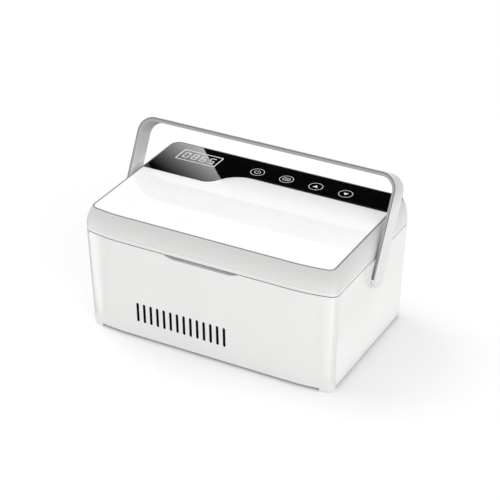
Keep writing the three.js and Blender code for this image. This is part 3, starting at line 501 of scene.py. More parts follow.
    def to_mesh(self, name: str) -> bpy.types.Mesh:
        """Writes the form to a mesh.

        Args:
            name: The mesh's name.

        Returns:
            The mesh.
        """
        mesh = bpy.data.meshes.new(name)
        self.bm.to_mesh(mesh)
        return mesh

    def to_object(self, name: str) -> bpy.types.Object:
        """Writes the form to an object in the scene.

        Args:
            name: The object's name.

        Returns:
            The object.
        """
        item = bpy.data.objects.new(name, self.to_mesh(name))
        bpy.context.scene.collection.objects.link(item)
        return item


@dataclass(frozen=True)
class SlotRow:
    """A row of round-ended slots along X, with how far a cutter reaches either side of the wall."""

    count: int
    pitch: float
    width: float
    length: float
    reach: float

    def cutters(self, centre: Point, through: Axis) -> list[Form]:
        """The cutters of the row.

        Args:
            centre: The row's middle.
            through: The direction that the slots pass through the wall in, Y or Z.

        Returns:
            A cutter for each slot.
        """
        half = Vector((self.width / 2, self.length / 2, self.reach))
        if through is Axis.Y:
            half.yz = half.zy
        made = []
        for place in range(self.count):
            x = centre[0] + (place - (self.count - 1) / 2) * self.pitch
            at = Vector((x, *centre[1:]))
            cutter = Form.block(at - half, at + half)
            made.append(cutter.round_edges(lambda edge: run(edge, through) > self.reach,
                                           self.width * SLOT_ROUND, SLOT_STEPS))
        return made


# Finishes


class NodeBook:
    """Adds nodes to a node tree."""

    def __init__(self, tree: bpy.types.NodeTree) -> None:
        """Opens the tree."""
        self.tree = tree

    def node(self, kind: str, **inputs: object) -> bpy.types.Node:
        """Adds a node and sets or links its inputs by name.

        Args:
            kind: The node's type.
            inputs: Values or sockets, with underscores for spaces in the names.

        Returns:
            The node.
        """
        made = self.tree.nodes.new(kind)
        for key, value in inputs.items():
            self.feed(made.inputs[key.replace("_", " ")], value)
        return made

    def feed(self, socket: Socket, value: object) -> None:
        """Links a socket to another one, or sets its value.

        Args:
            socket: The socket.
            value: The other socket, or the value.
        """
        if isinstance(value, Socket):
            self.tree.links.new(value, socket)
        else:
            socket.default_value = value

    def reckon(self, kind: str, operation: str, first: object, second: object) -> bpy.types.Node:
        """Adds a node that reckons with two inputs.

        Args:
            kind: The node's type, for numbers or for vectors.
            operation: What it does.
            first: The first value or socket.
            second: The second value or socket.

        Returns:
            The node.
        """
        made = self.node(kind)
        made.operation = operation
        self.feed(made.inputs[0], first)
        self.feed(made.inputs[1], second)
        return made

    def spread(self, pattern: Socket, low: float, high: float, start: float = 0.3,
               end: float = 0.7) -> Socket:
        """Maps a pattern to a range of values.

        Args:
            pattern: The pattern.
            low: The value at the start.
            high: The value at the end.
            start: The pattern's level where the range starts.
            end: The pattern's level where the range ends.

        Returns:
            The value's socket.
        """
        made = self.node("ShaderNodeMapRange", Value=pattern, From_Min=start, From_Max=end, To_Min=low,
                         To_Max=high)
        return made.outputs["Result"]

    def ray_level(self, seen: float, other: float) -> Socket:
        """Gives camera, glossy and transmission rays one level and other rays another.

        Args:
            seen: The level for rays that show the surface.
            other: The level for rays that only carry its light.

        Returns:
            The level's socket.
        """
        path = self.node("ShaderNodeLightPath")
        shown = path.outputs["Is Camera Ray"]
        for ray in ("Is Glossy Ray", "Is Transmission Ray"):
            shown = self.reckon("ShaderNodeMath", "MAXIMUM", shown, path.outputs[ray]).outputs[0]
        return self.spread(shown, other, seen, 0, 1)


class Paint(NodeBook):
    """Adds nodes to the tree of a new material."""

    def __init__(self, name: str) -> None:
        """Starts the material with its surface shader.

        Args:
            name: The material's name.
        """
        self.material = bpy.data.materials.new(name)
        self.material.use_nodes = True
        super().__init__(self.material.node_tree)
        self.shader = self.tree.nodes["Principled BSDF"]

    @cached_property
    def place(self) -> Socket:
        """The object coordinates."""
        return self.node("ShaderNodeTexCoord").outputs["Object"]

    def stretched(self, scale: Point) -> Socket:
        """Object coordinates, stretched along the axes."""
        return self.node("ShaderNodeMapping", Vector=self.place, Scale=scale).outputs["Vector"]

    def noise(self, scale: float, detail: float = 2, place: Optional[Socket] = None) -> Socket:
        """A noise pattern.

        Args:
            scale: Its number of features in a unit of the place.
            detail: Its number of finer layers.
            place: The place, or none for the object coordinates.

        Returns:
            The pattern's socket.
        """
        vector = self.place if place is None else place
        made = self.node("ShaderNodeTexNoise", Vector=vector, Scale=scale, Detail=detail, Roughness=0.55)
        return made.outputs["Fac"]

    def tint(self, pattern: Socket, first: Colour, second: Colour) -> Socket:
        """Mixes two colours by a pattern.

        Args:
            pattern: The pattern, from 0 to 1.
            first: The colour at 0.
            second: The colour at 1.

        Returns:
            The colour's socket.
        """
        made = self.node("ShaderNodeMix")
        made.data_type = "RGBA"
        self.feed(made.inputs["Factor"], pattern)
        ends = [socket for socket in made.inputs if socket.type == "RGBA"]
        for socket, colour in zip(ends, (first, second)):
            socket.default_value = (*colour, 1)
        return next(socket for socket in made.outputs if socket.type == "RGBA")

    def bump(self, pattern: Socket, depth: float, strength: float = 1) -> None:
        """Raises the surface by a pattern, to a depth in metres."""
        made = self.node("ShaderNodeBump", Height=pattern, Strength=strength, Distance=depth)
        self.feed(self.shader.inputs["Normal"], made.outputs["Normal"])

    def surface(self, **inputs: object) -> None:
        """Sets the shader's inputs by name."""
        for key, value in inputs.items():
            self.feed(self.shader.inputs[key.replace("_", " ")], value)


@dataclass(frozen=True)
class Finish(ABC):
    """A finish that is made as a procedural material.

    Its colour is made darker and lighter by a pattern, between two levels of the pattern. Its roughness
    has a low and a high value, and its relief a depth and a strength.
    """

    name: str
    colour: Colour
    rough: Pair
    shares: Pair = (0.985, 1.015)
    levels: Pair = (0.3, 0.7)
    depth: float = 0.01 * MM
    strength: float = 1.0
    gloss: float = 0.5
    metallic: float = 0.0

    @property
    def tones(self) -> list[Colour]:
        """The colours at the two levels of the pattern."""
        return [tuple(min(channel * share, 1) for channel in self.colour) for share in self.shares]

    @abstractmethod
    def patterns(self, paint: Paint) -> Patterns:
        """The patterns of the tone, the relief and the roughness."""

    def make(self) -> Material:
        """Builds the material.

        Returns:
            The material.
        """
        paint = Paint(self.name)
        tone, relief, rough = self.patterns(paint)
        if relief is not None:
            paint.bump(relief, self.depth, self.strength)
        paint.surface(
            Base_Color=paint.tint(paint.spread(tone, 0, 1, *self.levels), *self.tones),
            Roughness=paint.spread(rough, *self.rough),
            Specular_IOR_Level=self.gloss,
            Metallic=self.metallic,
        )
        return paint.material


@dataclass(frozen=True)
class MouldedPlastic(Finish):
    """Injection-moulded plastic with a fine spark-eroded grain."""

    shares: Pair = (0.985, 1.012)
    gloss: float = 0.4
    grain: float = 2200
    clouds: float = 14

    def patterns(self, paint: Paint) -> Patterns:
        """Wide clouds in the tone, and a fine grain."""
        grain = paint.noise(self.grain)
        return paint.noise(self.clouds, detail=4), grain, grain


@dataclass(frozen=True)
class HeightShadedPlastic(Finish):
    """Moulded plastic whose tone changes with height, as painted shade and painted light."""

    rough: Pair = (0.25, 0.35)
    depth: float = 0.006 * MM
    grain: float = 2200
    top_colour: Colour = field(kw_only=True)

    @property
    def tones(self) -> list[Colour]:
        """The colours at the two heights."""
        return [self.colour, self.top_colour]

    def patterns(self, paint: Paint) -> Patterns:
        """The height in the tone, as painted shade and light, and a fine grain."""
        grain = paint.noise(self.grain)
        return paint.node("ShaderNodeSeparateXYZ", Vector=paint.place).outputs["Z"], grain, grain


@dataclass(frozen=True)
class PolishedPanel(Finish):
    """Glossy moulded or back-painted sheet, with a trace of orange peel and of handling."""

    depth: float = 0.002 * MM
    smears: float = 26
    peel: float = 240

    def patterns(self, paint: Paint) -> Patterns:
        """Smears, and a trace of orange peel."""
        smear = paint.noise(self.smears, detail=5)
        return smear, paint.noise(self.peel), smear


@dataclass(frozen=True)
class PrintedInk(Finish):
    """Screen-printed ink with a slightly uneven cover."""

    rough: Pair = (0.4, 0.55)
    shares: Pair = (0.92, 1)
    specks: float = 3000

    def patterns(self, paint: Paint) -> Patterns:
        """Specks, without a relief."""
        speck = paint.noise(self.specks)
        return speck, None, speck


@dataclass(frozen=True)
class WorkedMetal(Finish):
    """Metal with fine tool marks along one direction."""

    shares: Pair = (0.9, 1.06)
    depth: float = 0.004 * MM
    metallic: float = 1.0
    marks: tuple[float, float, float] = (60, 2400, 2400)

    def patterns(self, paint: Paint) -> Patterns:
        """Tool marks in all three."""
        lines = paint.noise(1, place=paint.stretched(self.marks))
        return lines, lines, lines


@dataclass(frozen=True)
class CellFoam(Finish):
    """Moulded foam with a beaded surface, which is lower between the beads and painted darker there as
    shade.
    """

    rough: Pair = (0.85, 1)
    shares: Pair = (1, 0.8)
    levels: Pair = (0.1, 0.8)
    depth: float = -0.25 * MM
    strength: float = 0.7
    cells: float = 420

    def patterns(self, paint: Paint) -> Patterns:
        """Beads in all three: the tone is painted darker as shade where the relief is lower."""
        beads = paint.node("ShaderNodeTexVoronoi", Vector=paint.place, Scale=self.cells).outputs["Distance"]
        return beads, beads, beads


@dataclass(frozen=True)
class SoftRubber(Finish):
    """Matt rubber with a dusty bloom."""

    rough: Pair = (0.7, 0.9)
    shares: Pair = (0.88, 1.12)
    depth: float = 0.015 * MM
    gloss: float = 0.3
    blooms: float = 90
    grain: float = 1800

    def patterns(self, paint: Paint) -> Patterns:
        """The bloom, and a fine grain."""
        bloom = paint.noise(self.blooms, detail=5)
        return bloom, paint.noise(self.grain), bloom


@dataclass(frozen=True)
class CircuitBoard(Finish):
    """Solder resist over copper tracks."""

    rough: Pair = (0.3, 0.45)
    shares: Pair = (1, 1.9)
    levels: Pair = (0, 1)
    depth: float = 0.03 * MM
    tracks: float = 160
    track_gap: float = 0.06
    grain: float = 300

    def patterns(self, paint: Paint) -> Patterns:
        """The tracks, and a grain in the resist.

        Args:
            paint: The material's nodes.

        Returns:
            The patterns of the tone, the relief and the roughness.
        """
        sizes = {"Scale": self.tracks, "Mortar_Size": self.track_gap}
        laid = paint.node("ShaderNodeTexBrick", Vector=paint.place, **sizes).outputs["Fac"]
        return laid, laid, paint.noise(self.grain, detail=3)


@dataclass(frozen=True)
class ShrinkSleeve(Finish):
    """Plastic film shrunk over a battery cell, with a darker band at its seam."""

    rough: Pair = (0.22, 0.36)
    shares: Pair = (1, 0.7)
    levels: Pair = (0.42, 0.58)
    metallic: float = 0.1
    stretch: tuple[float, float, float] = (130, 8, 8)
    grain: float = 700

    def patterns(self, paint: Paint) -> Patterns:
        """Bands in the tone and a fine grain in the roughness."""
        bands = paint.noise(1, detail=1, place=paint.stretched(self.stretch))
        return bands, None, paint.noise(self.grain, detail=3)


class Dresser:
    """Makes each finish once, and turns forms into finished pieces."""

    def __init__(self) -> None:
        """Starts with no finish made."""
        self.made: dict[str, Material] = {}

    def material(self, finish: Finish) -> Material:
        """The material of a finish.

        Args:
            finish: The finish.

        Returns:
            The material, made the first time that it is asked for.
        """
        if finish.name not in self.made:
            self.made[finish.name] = finish.make()
        return self.made[finish.name]

    def piece(self, form: Form, name: str, body: Body, slot: str, finishes: Sequence[Finish],
              *replaces: str) -> None:
        """Turns a form into a finished piece that rides on a body.

        Args:
            form: The form.
            name: The piece's name.
            body: The body that it rides on.
            slot: The record's material slot; not used.
            finishes: Its finishes, in the order of its faces' numbers.
            replaces: The solids that it stands for.
        """
        item = form.to_object(name)
        for finish in finishes:
            item.data.materials.append(self.material(finish))
        item.data.shade_smooth()
        item.data.set_sharp_from_angle(angle=SMOOTH_ANGLE)
        normals = item.modifiers.new("even_normals", "WEIGHTED_NORMAL")
        normals.keep_sharp = True
        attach(item, body.value)
        for node in replaces:
            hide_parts(node)
        LOG.info("%s rides on %s, %d faces", name, body.value, len(item.data.polygons))


# Named finishes of this object
SHELL_WHITE = MouldedPlastic(
    "shell_white_satin", (0.83, 0.83, 0.82), (0.13, 0.23), depth=0.004 * MM, gloss=0.5, grain=1800)
# Painted shade: the lid's flank is painted darker towards its top, by height.
LID_GREY_PAINTED_SHADE = HeightShadedPlastic(
    "lid_grey_satin", (0.75, 0.75, 0.74), levels=(107 * MM, 124 * MM), top_colour=(0.61, 0.61, 0.602))
LID_BAND = MouldedPlastic(
    "lid_band_satin", (0.8, 0.8, 0.791), (0.25, 0.35), depth=0.004 * MM, grain=1800)
TOP_WHITE = PolishedPanel("top_white_gloss", (0.93, 0.93, 0.925), (0.024, 0.042), gloss=0.6)
PANEL_BLACK = PolishedPanel("panel_black_gloss", (0.003, 0.003, 0.0033), (0.012, 0.021))
TRIM_GREY = MouldedPlastic("trim_grey_satin", (0.24, 0.24, 0.237), (0.45, 0.55))
# Painted shade: the handle's outer face is painted darker towards the bar, by height.
HANDLE_OUTER_PAINTED_SHADE = HeightShadedPlastic(
    "handle_outer_satin", (0.76, 0.76, 0.75), levels=(138 * MM, 160 * MM), top_colour=(0.54, 0.54, 0.533))
# A dark edge tone with painted shade: the strap's front and rear edges are dark grey and painted darker
# upwards.
HANDLE_DARK_EDGE_AND_PAINTED_SHADE = HeightShadedPlastic(
    "handle_edge_satin", (0.34, 0.34, 0.335), (0.35, 0.45), levels=(88 * MM, 130 * MM),
    top_colour=(0.2, 0.2, 0.197))
# Painted light and shade: the handle's inner face is painted lighter low down and darker up at the bar.
HANDLE_INNER_PAINTED_LIGHT_AND_SHADE = HeightShadedPlastic(
    "handle_inner_satin", (0.9, 0.9, 0.89), (0.35, 0.45), levels=(120 * MM, 157 * MM),
    top_colour=(0.6, 0.6, 0.592))
# Painted shadow: the inner moulding's front and rear edges are near black at the foot, where the gap beside
# the body is in shade, and lighter upwards.
HANDLE_LIP_PAINTED_SHADOW = HeightShadedPlastic(
    "handle_lip_satin", (0.06, 0.06, 0.06), (0.35, 0.45), levels=(85 * MM, 118 * MM),
    top_colour=(0.36, 0.36, 0.355))
LINER_GREY = MouldedPlastic("liner_grey_satin", (0.62, 0.65, 0.67), (0.3, 0.4))
FOAM = CellFoam("foam_beaded", (0.8, 0.76, 0.62))
SEAL_RUBBER = SoftRubber("seal_rubber_matt", (0.27, 0.29, 0.3))
ALUMINIUM = WorkedMetal("aluminium_drawn", (0.62, 0.64, 0.66), (0.26, 0.44))
STEEL = WorkedMetal("steel_turned", (0.5, 0.51, 0.53), (0.2, 0.38), marks=(900, 900, 2400))
CERAMIC = MouldedPlastic("ceramic_matt", (0.86, 0.84, 0.78), (0.55, 0.65), grain=900)
# Painted shade: the sides of the air slots are black, so that the slots read dark.
SLOT_PAINTED_SHADE = MouldedPlastic("slot_black_dull", (0.01, 0.01, 0.011), (0.65, 0.75), gloss=0.05)
# Painted shade: the land under the lid is grey, so that the seam reads dark.
LAND_PAINTED_SHADE = MouldedPlastic("land_grey_satin", (0.36, 0.36, 0.355), (0.45, 0.55))
# Painted shade: the plate under the case is dark, which deepens the shadow under the case.
BASE_PAINTED_SHADE = MouldedPlastic("base_grey_satin", (0.12, 0.12, 0.12), (0.45, 0.55), gloss=0.2)
BLACK_PLASTIC = MouldedPlastic("black_plastic_satin", (0.014, 0.014, 0.016), (0.45, 0.55))
BOARD_GREEN = CircuitBoard("board_green_resist", (0.014, 0.105, 0.042))
CELL_SLEEVE = ShrinkSleeve("cell_sleeve_film", (0.028, 0.16, 0.43))
WHITE_INK = PrintedInk("white_ink", (0.93, 0.93, 0.93))
SLOT_FINISHES = {
    "shell_white": SHELL_WHITE,
    "lid_grey": LID_GREY_PAINTED_SHADE,
    "top_white": TOP_WHITE,
    "panel_black": PANEL_BLACK,
    "handle_grey": HANDLE_OUTER_PAINTED_SHADE,
    "liner_grey": LINER_GREY,
    "foam": FOAM,
    "seal_rubber": SEAL_RUBBER,
    "aluminium": ALUMINIUM,
    "steel": STEEL,
    "ceramic": CERAMIC,
    "black_plastic": BLACK_PLASTIC,
    "board_green": BOARD_GREEN,
    "cell_sleeve": CELL_SLEEVE,
}


# Sizes that several sub-assemblies share


class Datum:
    """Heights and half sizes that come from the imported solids."""

    def __init__(self) -> None:
        """Reads the frame."""
        lid_low, lid_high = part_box("lid_frame")
        shell_low, shell_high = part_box("body_shell")
        panel_low, panel_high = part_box("top_panel")
        self.half_width = lid_high.x
        self.half_depth = lid_high.y
        self.skirt_z = shell_low.z
        self.seam_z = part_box("chamber_liner")[1].z
        self.lid_z = self.seam_z + CLEAR
        self.crest_z = lid_high.z
        self.top_z = panel_high.z
        self.panel_z = panel_low.z
        self.panel_half_x = panel_high.x
        self.panel_half_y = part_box("control_panel")[1].y
        self.pad_x = shell_high.x
        self.hinge_radius = self.seam_z - lid_low.z
        self.hinge_y = self.half_depth - self.hinge_radius
        self.slot_x = middle(*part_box("fan_frame"))[0]


@dataclass
class Hinge:
    """The lid's hinge: a barrel on the lid between knuckles on the body."""

    datum: Datum
    length: float = 232 * MM
    knuckle: float = 14 * MM
    spacing: float = 75 * MM
    end_round: float = 0.4 * MM
    barrel_ease: float = 0.05 * MM

    @property
    def centres(self) -> list[float]:
        """The middles of the body's knuckles along X."""
        return [-self.spacing, 0, self.spacing]

    def rod(self, radius: float, length: float, x: float) -> Form:
        """A rod on the hinge's axis, with its middle at a place along X."""
        return Form.rod(Axis.X, radius, length, (x, self.datum.hinge_y, self.datum.seam_z), self.end_round)

    def rods(self, radius: float, length: float) -> list[Form]:
        """Rods at the knuckles."""
        return [self.rod(radius, length, x) for x in self.centres]

    def barrel(self) -> list[Form]:
        """The lid's stretches of barrel, between and beside the knuckles.

        Returns:
            The stretches from left to right.
        """
        gap = self.knuckle / 2 + CLEAR
        ends = [-self.length / 2]
        for x in self.centres:
            ends += [x - gap, x + gap]
        ends.append(self.length / 2)
        radius = self.datum.hinge_radius - self.barrel_ease
        return [self.rod(radius, end - start, (start + end) / 2)
                for start, end in zip(ends[::2], ends[1::2])]


# The body


@dataclass
class CaseShell:
    """The tapered white shell with its slots, scallop, hinge knuckles and handle pads."""

    datum: Datum
    hinge: Hinge
    taper_x: float = 2.75 * MM
    taper_y: float = 3 * MM
    corner: float = 15 * MM
    front_corner: float = 6 * MM
    opening_corner: float = 8 * MM
    wall: float = 2.5 * MM
    rim: float = 8.5 * MM
    skirt_round: float = 0.9 * MM
    seam_round: float = 0.15 * MM
    seam_drop: float = 0.5 * MM
    skirt_drop: float = 1 * MM
    vents: SlotRow = SlotRow(
        count=14, pitch=7.08 * MM, width=2.75 * MM, length=20.6 * MM, reach=7.5 * MM)
    vent_height: float = 26.4 * MM
    scallop_x: float = -3.5 * MM
    scallop_length: float = 81 * MM
    scallop_depth: float = 3.8 * MM
    scallop_reach: float = 6.5 * MM
    scallop_slope: float = 7 * MM
    scallop_round: float = 6.5 * MM
    pad_radius: float = 12 * MM
    pad_full: float = 0.999
    pad_steps: int = 16
    pad_round: float = 0.6 * MM
    pad_drop: float = 2 * MM
    pivot_drop: float = 17.6 * MM

    @property
    def rim_z(self) -> float:
        """The underside of the thick rim round the opening."""
        return self.datum.seam_z - self.rim

    @property
    def vent_z(self) -> float:
        """The middle of the air slots."""
        return self.datum.skirt_z + self.vent_height

    def plan(self, z: float) -> Plan:
        """The outline at a height.

        Args:
            z: The height.

        Returns:
            The outline, smaller towards the skirt.
        """
        d = self.datum
        lean = (d.seam_z - z) / (d.seam_z - d.skirt_z)
        half_x, half_y = d.half_width - self.taper_x * lean, d.half_depth - self.taper_y * lean
        return Plan(half_x, half_y, self.corner, self.front_corner)

    def section(self) -> list[Ring]:
        """The shell's section, up its outside, over the rim and down its inside.

        Returns:
            The rings, of which the last is the first again.
        """
        d = self.datum
        skirt_z = d.skirt_z - self.skirt_drop
        land_z = d.seam_z - self.seam_drop
        seat_z = d.seam_z - ChamberTub.flange - CLEAR
        skirt = self.plan(skirt_z)
        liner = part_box("chamber_liner")[1]
        seat = Plan(liner.x + CLEAR, liner.y + CLEAR, self.corner)
        reach = ChamberTub.flange_reach
        opening = Plan(liner.x - reach + CLEAR, liner.y - reach + CLEAR, self.opening_corner)
        low_edge = quarter(skirt, skirt_z, self.skirt_round, 90, 0, -1)
        return [
            *low_edge,
            *quarter(self.plan(d.seam_z), land_z, self.seam_round, 0, 90, 1),
            Ring(seat, land_z),
            Ring(seat, seat_z),
            Ring(opening, seat_z),
            Ring(opening, self.rim_z),
            Ring(self.plan(self.rim_z).inset(self.wall), self.rim_z),
            Ring(skirt.inset(self.wall), skirt_z),
            low_edge[0],
        ]

    def scallop(self) -> Form:
        """The cutter of the finger scallop under the lid's front edge.

        Returns:
            The cutter, in place.
        """
        half, slope, depth = self.scallop_length / 2, self.scallop_slope, self.scallop_depth
        outline = [(-half, 0), (slope - half, -depth), (half - slope, -depth), (half, 0), (half, OVERCUT),
                   (-half, OVERCUT)]
        rounds = {1: self.scallop_round, 2: self.scallop_round}
        cutter = Form.prism(outline, self.scallop_reach + OVERCUT, rounds).turn(math.pi / 2, Axis.X)
        return cutter.shift(self.scallop_x, self.scallop_reach - self.datum.half_depth, self.datum.seam_z)

    def openings(self) -> list[Form]:
        """The cutters of the scallop, the inlet's and the catch's seats and the air slots.

        Returns:
            The cutters, in place.
        """
        d = self.datum
        low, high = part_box("dc_socket")
        gap = Vector((CLEAR, 3 * self.wall, CLEAR))
        inlet = Form.block(Vector((low.x, high.y, low.z)) - gap, high + gap)
        low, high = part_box("catch_plate")
        catch = Form.block(low - Vector((CLEAR,) * 3), high + Vector((CLEAR, CLEAR, OVERCUT)))
        wall_y = d.half_depth - self.taper_y
        rows = [self.vents.cutters((d.slot_x, y, self.vent_z), Axis.Y) for y in (-wall_y, wall_y)]
        return [self.scallop(), inlet, catch, *rows[0], *rows[1]]

    def pad(self, side: int) -> Form:
        """The raised pad that one arm of the handle turns on.

        Args:
            side: 1 for the right arm, -1 for the left one.

        Returns:
            The form.
        """
        d = self.datum
        pivot_z = d.seam_z - self.pivot_drop
        root = d.half_width - self.taper_x - self.wall / 2
        low_x, high_x = sorted((side * root, side * d.pad_x))
        form = Form.block((low_x, -self.pad_radius, pivot_z - self.pad_radius),
                          (high_x, self.pad_radius, d.seam_z - self.pad_drop))
        form.round_edges(lambda edge: all(vert.co.z < pivot_z for vert in edge.verts)
                         and run(edge, Axis.X) > self.wall / 4,
                         self.pad_radius * self.pad_full, self.pad_steps)
        return form.round_edges(lambda edge: lies_at(edge, Axis.X, side * d.pad_x), self.pad_round)

    def webs(self) -> list[Form]:
        """The webs that carry the hinge's knuckles.

        Returns:
            A web for each knuckle.
        """
        d = self.datum
        half = self.hinge.knuckle / 2 - self.hinge.end_round
        low_y, high_y = d.hinge_y - d.hinge_radius, d.hinge_y - CLEAR / 2
        return [Form.block((x - half, low_y, self.rim_z + CLEAR), (x + half, high_y, d.seam_z - CLEAR))
                for x in self.hinge.centres]

    def build(self) -> Form:
        """Models the shell.

        Returns:
            The form.
        """
        d = self.datum
        form = Form.loft(self.section(), endless=True).crown_front()
        groove = Form.rod(Axis.X, d.hinge_radius + CLEAR, self.hinge.length + 2 * CLEAR,
                          (0, d.hinge_y, d.seam_z))
        form.carve(Carve.CUT, groove)
        step_low = (-2 * d.half_width, d.hinge_y - CLEAR, d.seam_z - d.hinge_radius - 2 * CLEAR)
        form.carve(Carve.CUT, Form.block(step_low, (2 * d.half_width, 2 * d.half_depth, d.top_z)))
        form.carve(Carve.CUT, *self.openings())
        form.carve(Carve.JOIN, self.pad(-1), self.pad(1))
        form.carve(Carve.JOIN, *self.webs())
        return form.carve(Carve.JOIN, *self.hinge.rods(d.hinge_radius, self.hinge.knuckle))

    def mark_faces(self, form: Form) -> Form:
        """Marks the faces inside the air slots, painted black as shade, and the land under the lid, painted
        grey as the seam's shade.

        Args:
            form: The shell.

        Returns:
            The shell, with its faces numbered by finish.
        """
        d = self.datum
        half_row, half_slot = self.vents.pitch * self.vents.count / 2, self.vents.length * 0.52
        skin, inside = 0.05 * MM, self.wall * 1.01
        form.bm.normal_update()
        for face in form.bm.faces:
            centre = face.calc_center_median()
            depth = self.plan(centre.z).half_y - abs(centre.y)
            near = abs(centre.x - d.slot_x) < half_row and abs(centre.z - self.vent_z) < half_slot
            # The slots' sides take the black of painted shade.
            if near and skin < depth < inside and abs(face.normal.y) < ACROSS:
                face.material_index = 1
            # The land under the lid takes the grey of painted shade.
            if abs(centre.z - d.seam_z + self.seam_drop) < 10 * NEAR and face.normal.z > FACING:
                face.material_index = 2
        return form

    def dress(self, dresser: Dresser) -> None:
        """Makes the piece."""
        dresser.piece(self.mark_faces(self.build()), "case_shell", Body.CASE, "shell_white",
                      [SHELL_WHITE, SLOT_PAINTED_SHADE, LAND_PAINTED_SHADE], "body_shell")


@dataclass
class Fasteners:
    """Pan-head screws that are driven from below, each with a cross recess."""

    head: float = 1.4 * MM
    head_round: float = 0.5 * MM
    chamfer: float = 0.15 * MM
    shank_share: float = 0.6
    recess: float = 0.8 * MM
    recess_width: float = 0.5 * MM
    recess_share: float = 0.62
    seat_gap: float = 0.3 * MM
    steps: int = 32

    def nodes(self, *groups: str) -> list[str]:
        """The names of the screws in some groups of four."""
        return [f"{group}_screw_{place}" for group in groups for place in range(1, 5)]

    def sinks(self, nodes: Iterable[str], low_z: float) -> list[Form]:
        """Cutters of the seats that the heads lie in.

        Args:
            nodes: The screws.
            low_z: The height of the face that the seats are sunk in.

        Returns:
            The cutters, up to the heads' undersides.
        """
        made = []
        for node in nodes:
            low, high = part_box(node)
            start_z, seat_z = low_z - OVERCUT, low.z + self.head + CLEAR
            x, y, _ = middle(low, high)
            radius = (high.x - low.x) / 2 + self.seat_gap
            made.append(Form.rod(Axis.Z, radius, seat_z - start_z, (x, y, (start_z + seat_z) / 2)))
        return made

    def build(self, node: str) -> Form:
        """Models a screw.

        Args:
            node: The solid that it stands for.

        Returns:
            The form, in place.
        """
        low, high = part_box(node)
        radius = (high.x - low.x) / 2
        shank = radius * self.shank_share
        outline = [
            (0, low.z), (radius - self.head_round, low.z), (radius - self.chamfer, low.z + self.chamfer),
            (radius, low.z + self.head_round), (radius, low.z + self.head), (shank, low.z + self.head),
            (shank, high.z - shank), (0, high.z),
        ]
        form = Form.turned(outline, steps=self.steps)
        long, wide = radius * self.recess_share, self.recess_width / 2
        for reach_x, reach_y in ((long, wide), (wide, long)):
            bar = Form.block((-reach_x, -reach_y, low.z - OVERCUT), (reach_x, reach_y, low.z + self.recess))
            form.carve(Carve.CUT, bar)
        return form.shift(*middle(low, high)[:2])

    def dress(self, dresser: Dresser) -> None:
        """Makes the pieces.

        Args:
            dresser: Makes the finishes and the pieces.
        """
        for group, body in (("base", Body.CASE), ("fan", Body.CASE), ("lid", Body.LID)):
            for node in self.nodes(group):
                dresser.piece(self.build(node), f"{node}_cross", body, "steel", [STEEL], node)


@dataclass
class BasePlate:
    """The plate under the body, with corner feet, the fan's intake slots and screw seats."""

    datum: Datum
    shell: CaseShell
    fasteners: Fasteners
    low_z: float = 2.6 * MM
    thickness: float = 3 * MM
    edge_round: float = 0.6 * MM
    foot_inset: float = 0.06 * MM
    foot_length: float = 12 * MM
    foot_round: float = 0.7 * MM
    foot_overlap: float = 1.2 * MM
    intake: SlotRow = SlotRow(count=7, pitch=7 * MM, width=3 * MM, length=46 * MM, reach=6 * MM)

    def foot(self, side_x: int, side_y: int) -> Form:
        """One foot, which carries on the shell's corner down to the floor.

        Args:
            side_x: 1 for a right foot, -1 for a left one.
            side_y: 1 for a rear foot, -1 for a front one.

        Returns:
            The form.
        """
        plan = self.shell.plan(self.datum.skirt_z).inset(self.foot_inset)
        top = Ring(plan, self.datum.skirt_z + self.foot_overlap)
        form = Form.loft([*quarter(plan, 0, self.foot_round, 90, 0, -1), top]).crown_front()
        form.keep_beyond((side_x * (plan.half_x - self.foot_length), 0, 0), (side_x, 0, 0))
        return form.keep_beyond((0, side_y * (plan.half_y - self.foot_length), 0), (0, side_y, 0))

    def build(self) -> Form:
        """Models the plate.

        Returns:
            The form, with the feet.
        """
        plan = self.shell.plan(self.datum.skirt_z).inset(self.shell.wall + CLEAR)
        top = Ring(plan, self.low_z + self.thickness)
        form = Form.loft([*quarter(plan, self.low_z, self.edge_round, 90, 0, -1), top]).crown_front()
        slots = self.intake.cutters((self.datum.slot_x, 0, self.low_z), Axis.Z)
        screws = self.fasteners.nodes("base", "fan")
        form.carve(Carve.CUT, *slots, *self.fasteners.sinks(screws, self.low_z))
        # The plate takes the dark grey of painted shade; the feet added below stay white.
        for face in form.bm.faces:
            face.material_index = 1
        return form.add(*[self.foot(side_x, side_y) for side_x in (-1, 1) for side_y in (-1, 1)])

    def dress(self, dresser: Dresser) -> None:
        """Makes the piece."""
        dresser.piece(self.build(), "base_plate", Body.CASE, "shell_white", [SHELL_WHITE, BASE_PAINTED_SHADE],
                      "base_cover")


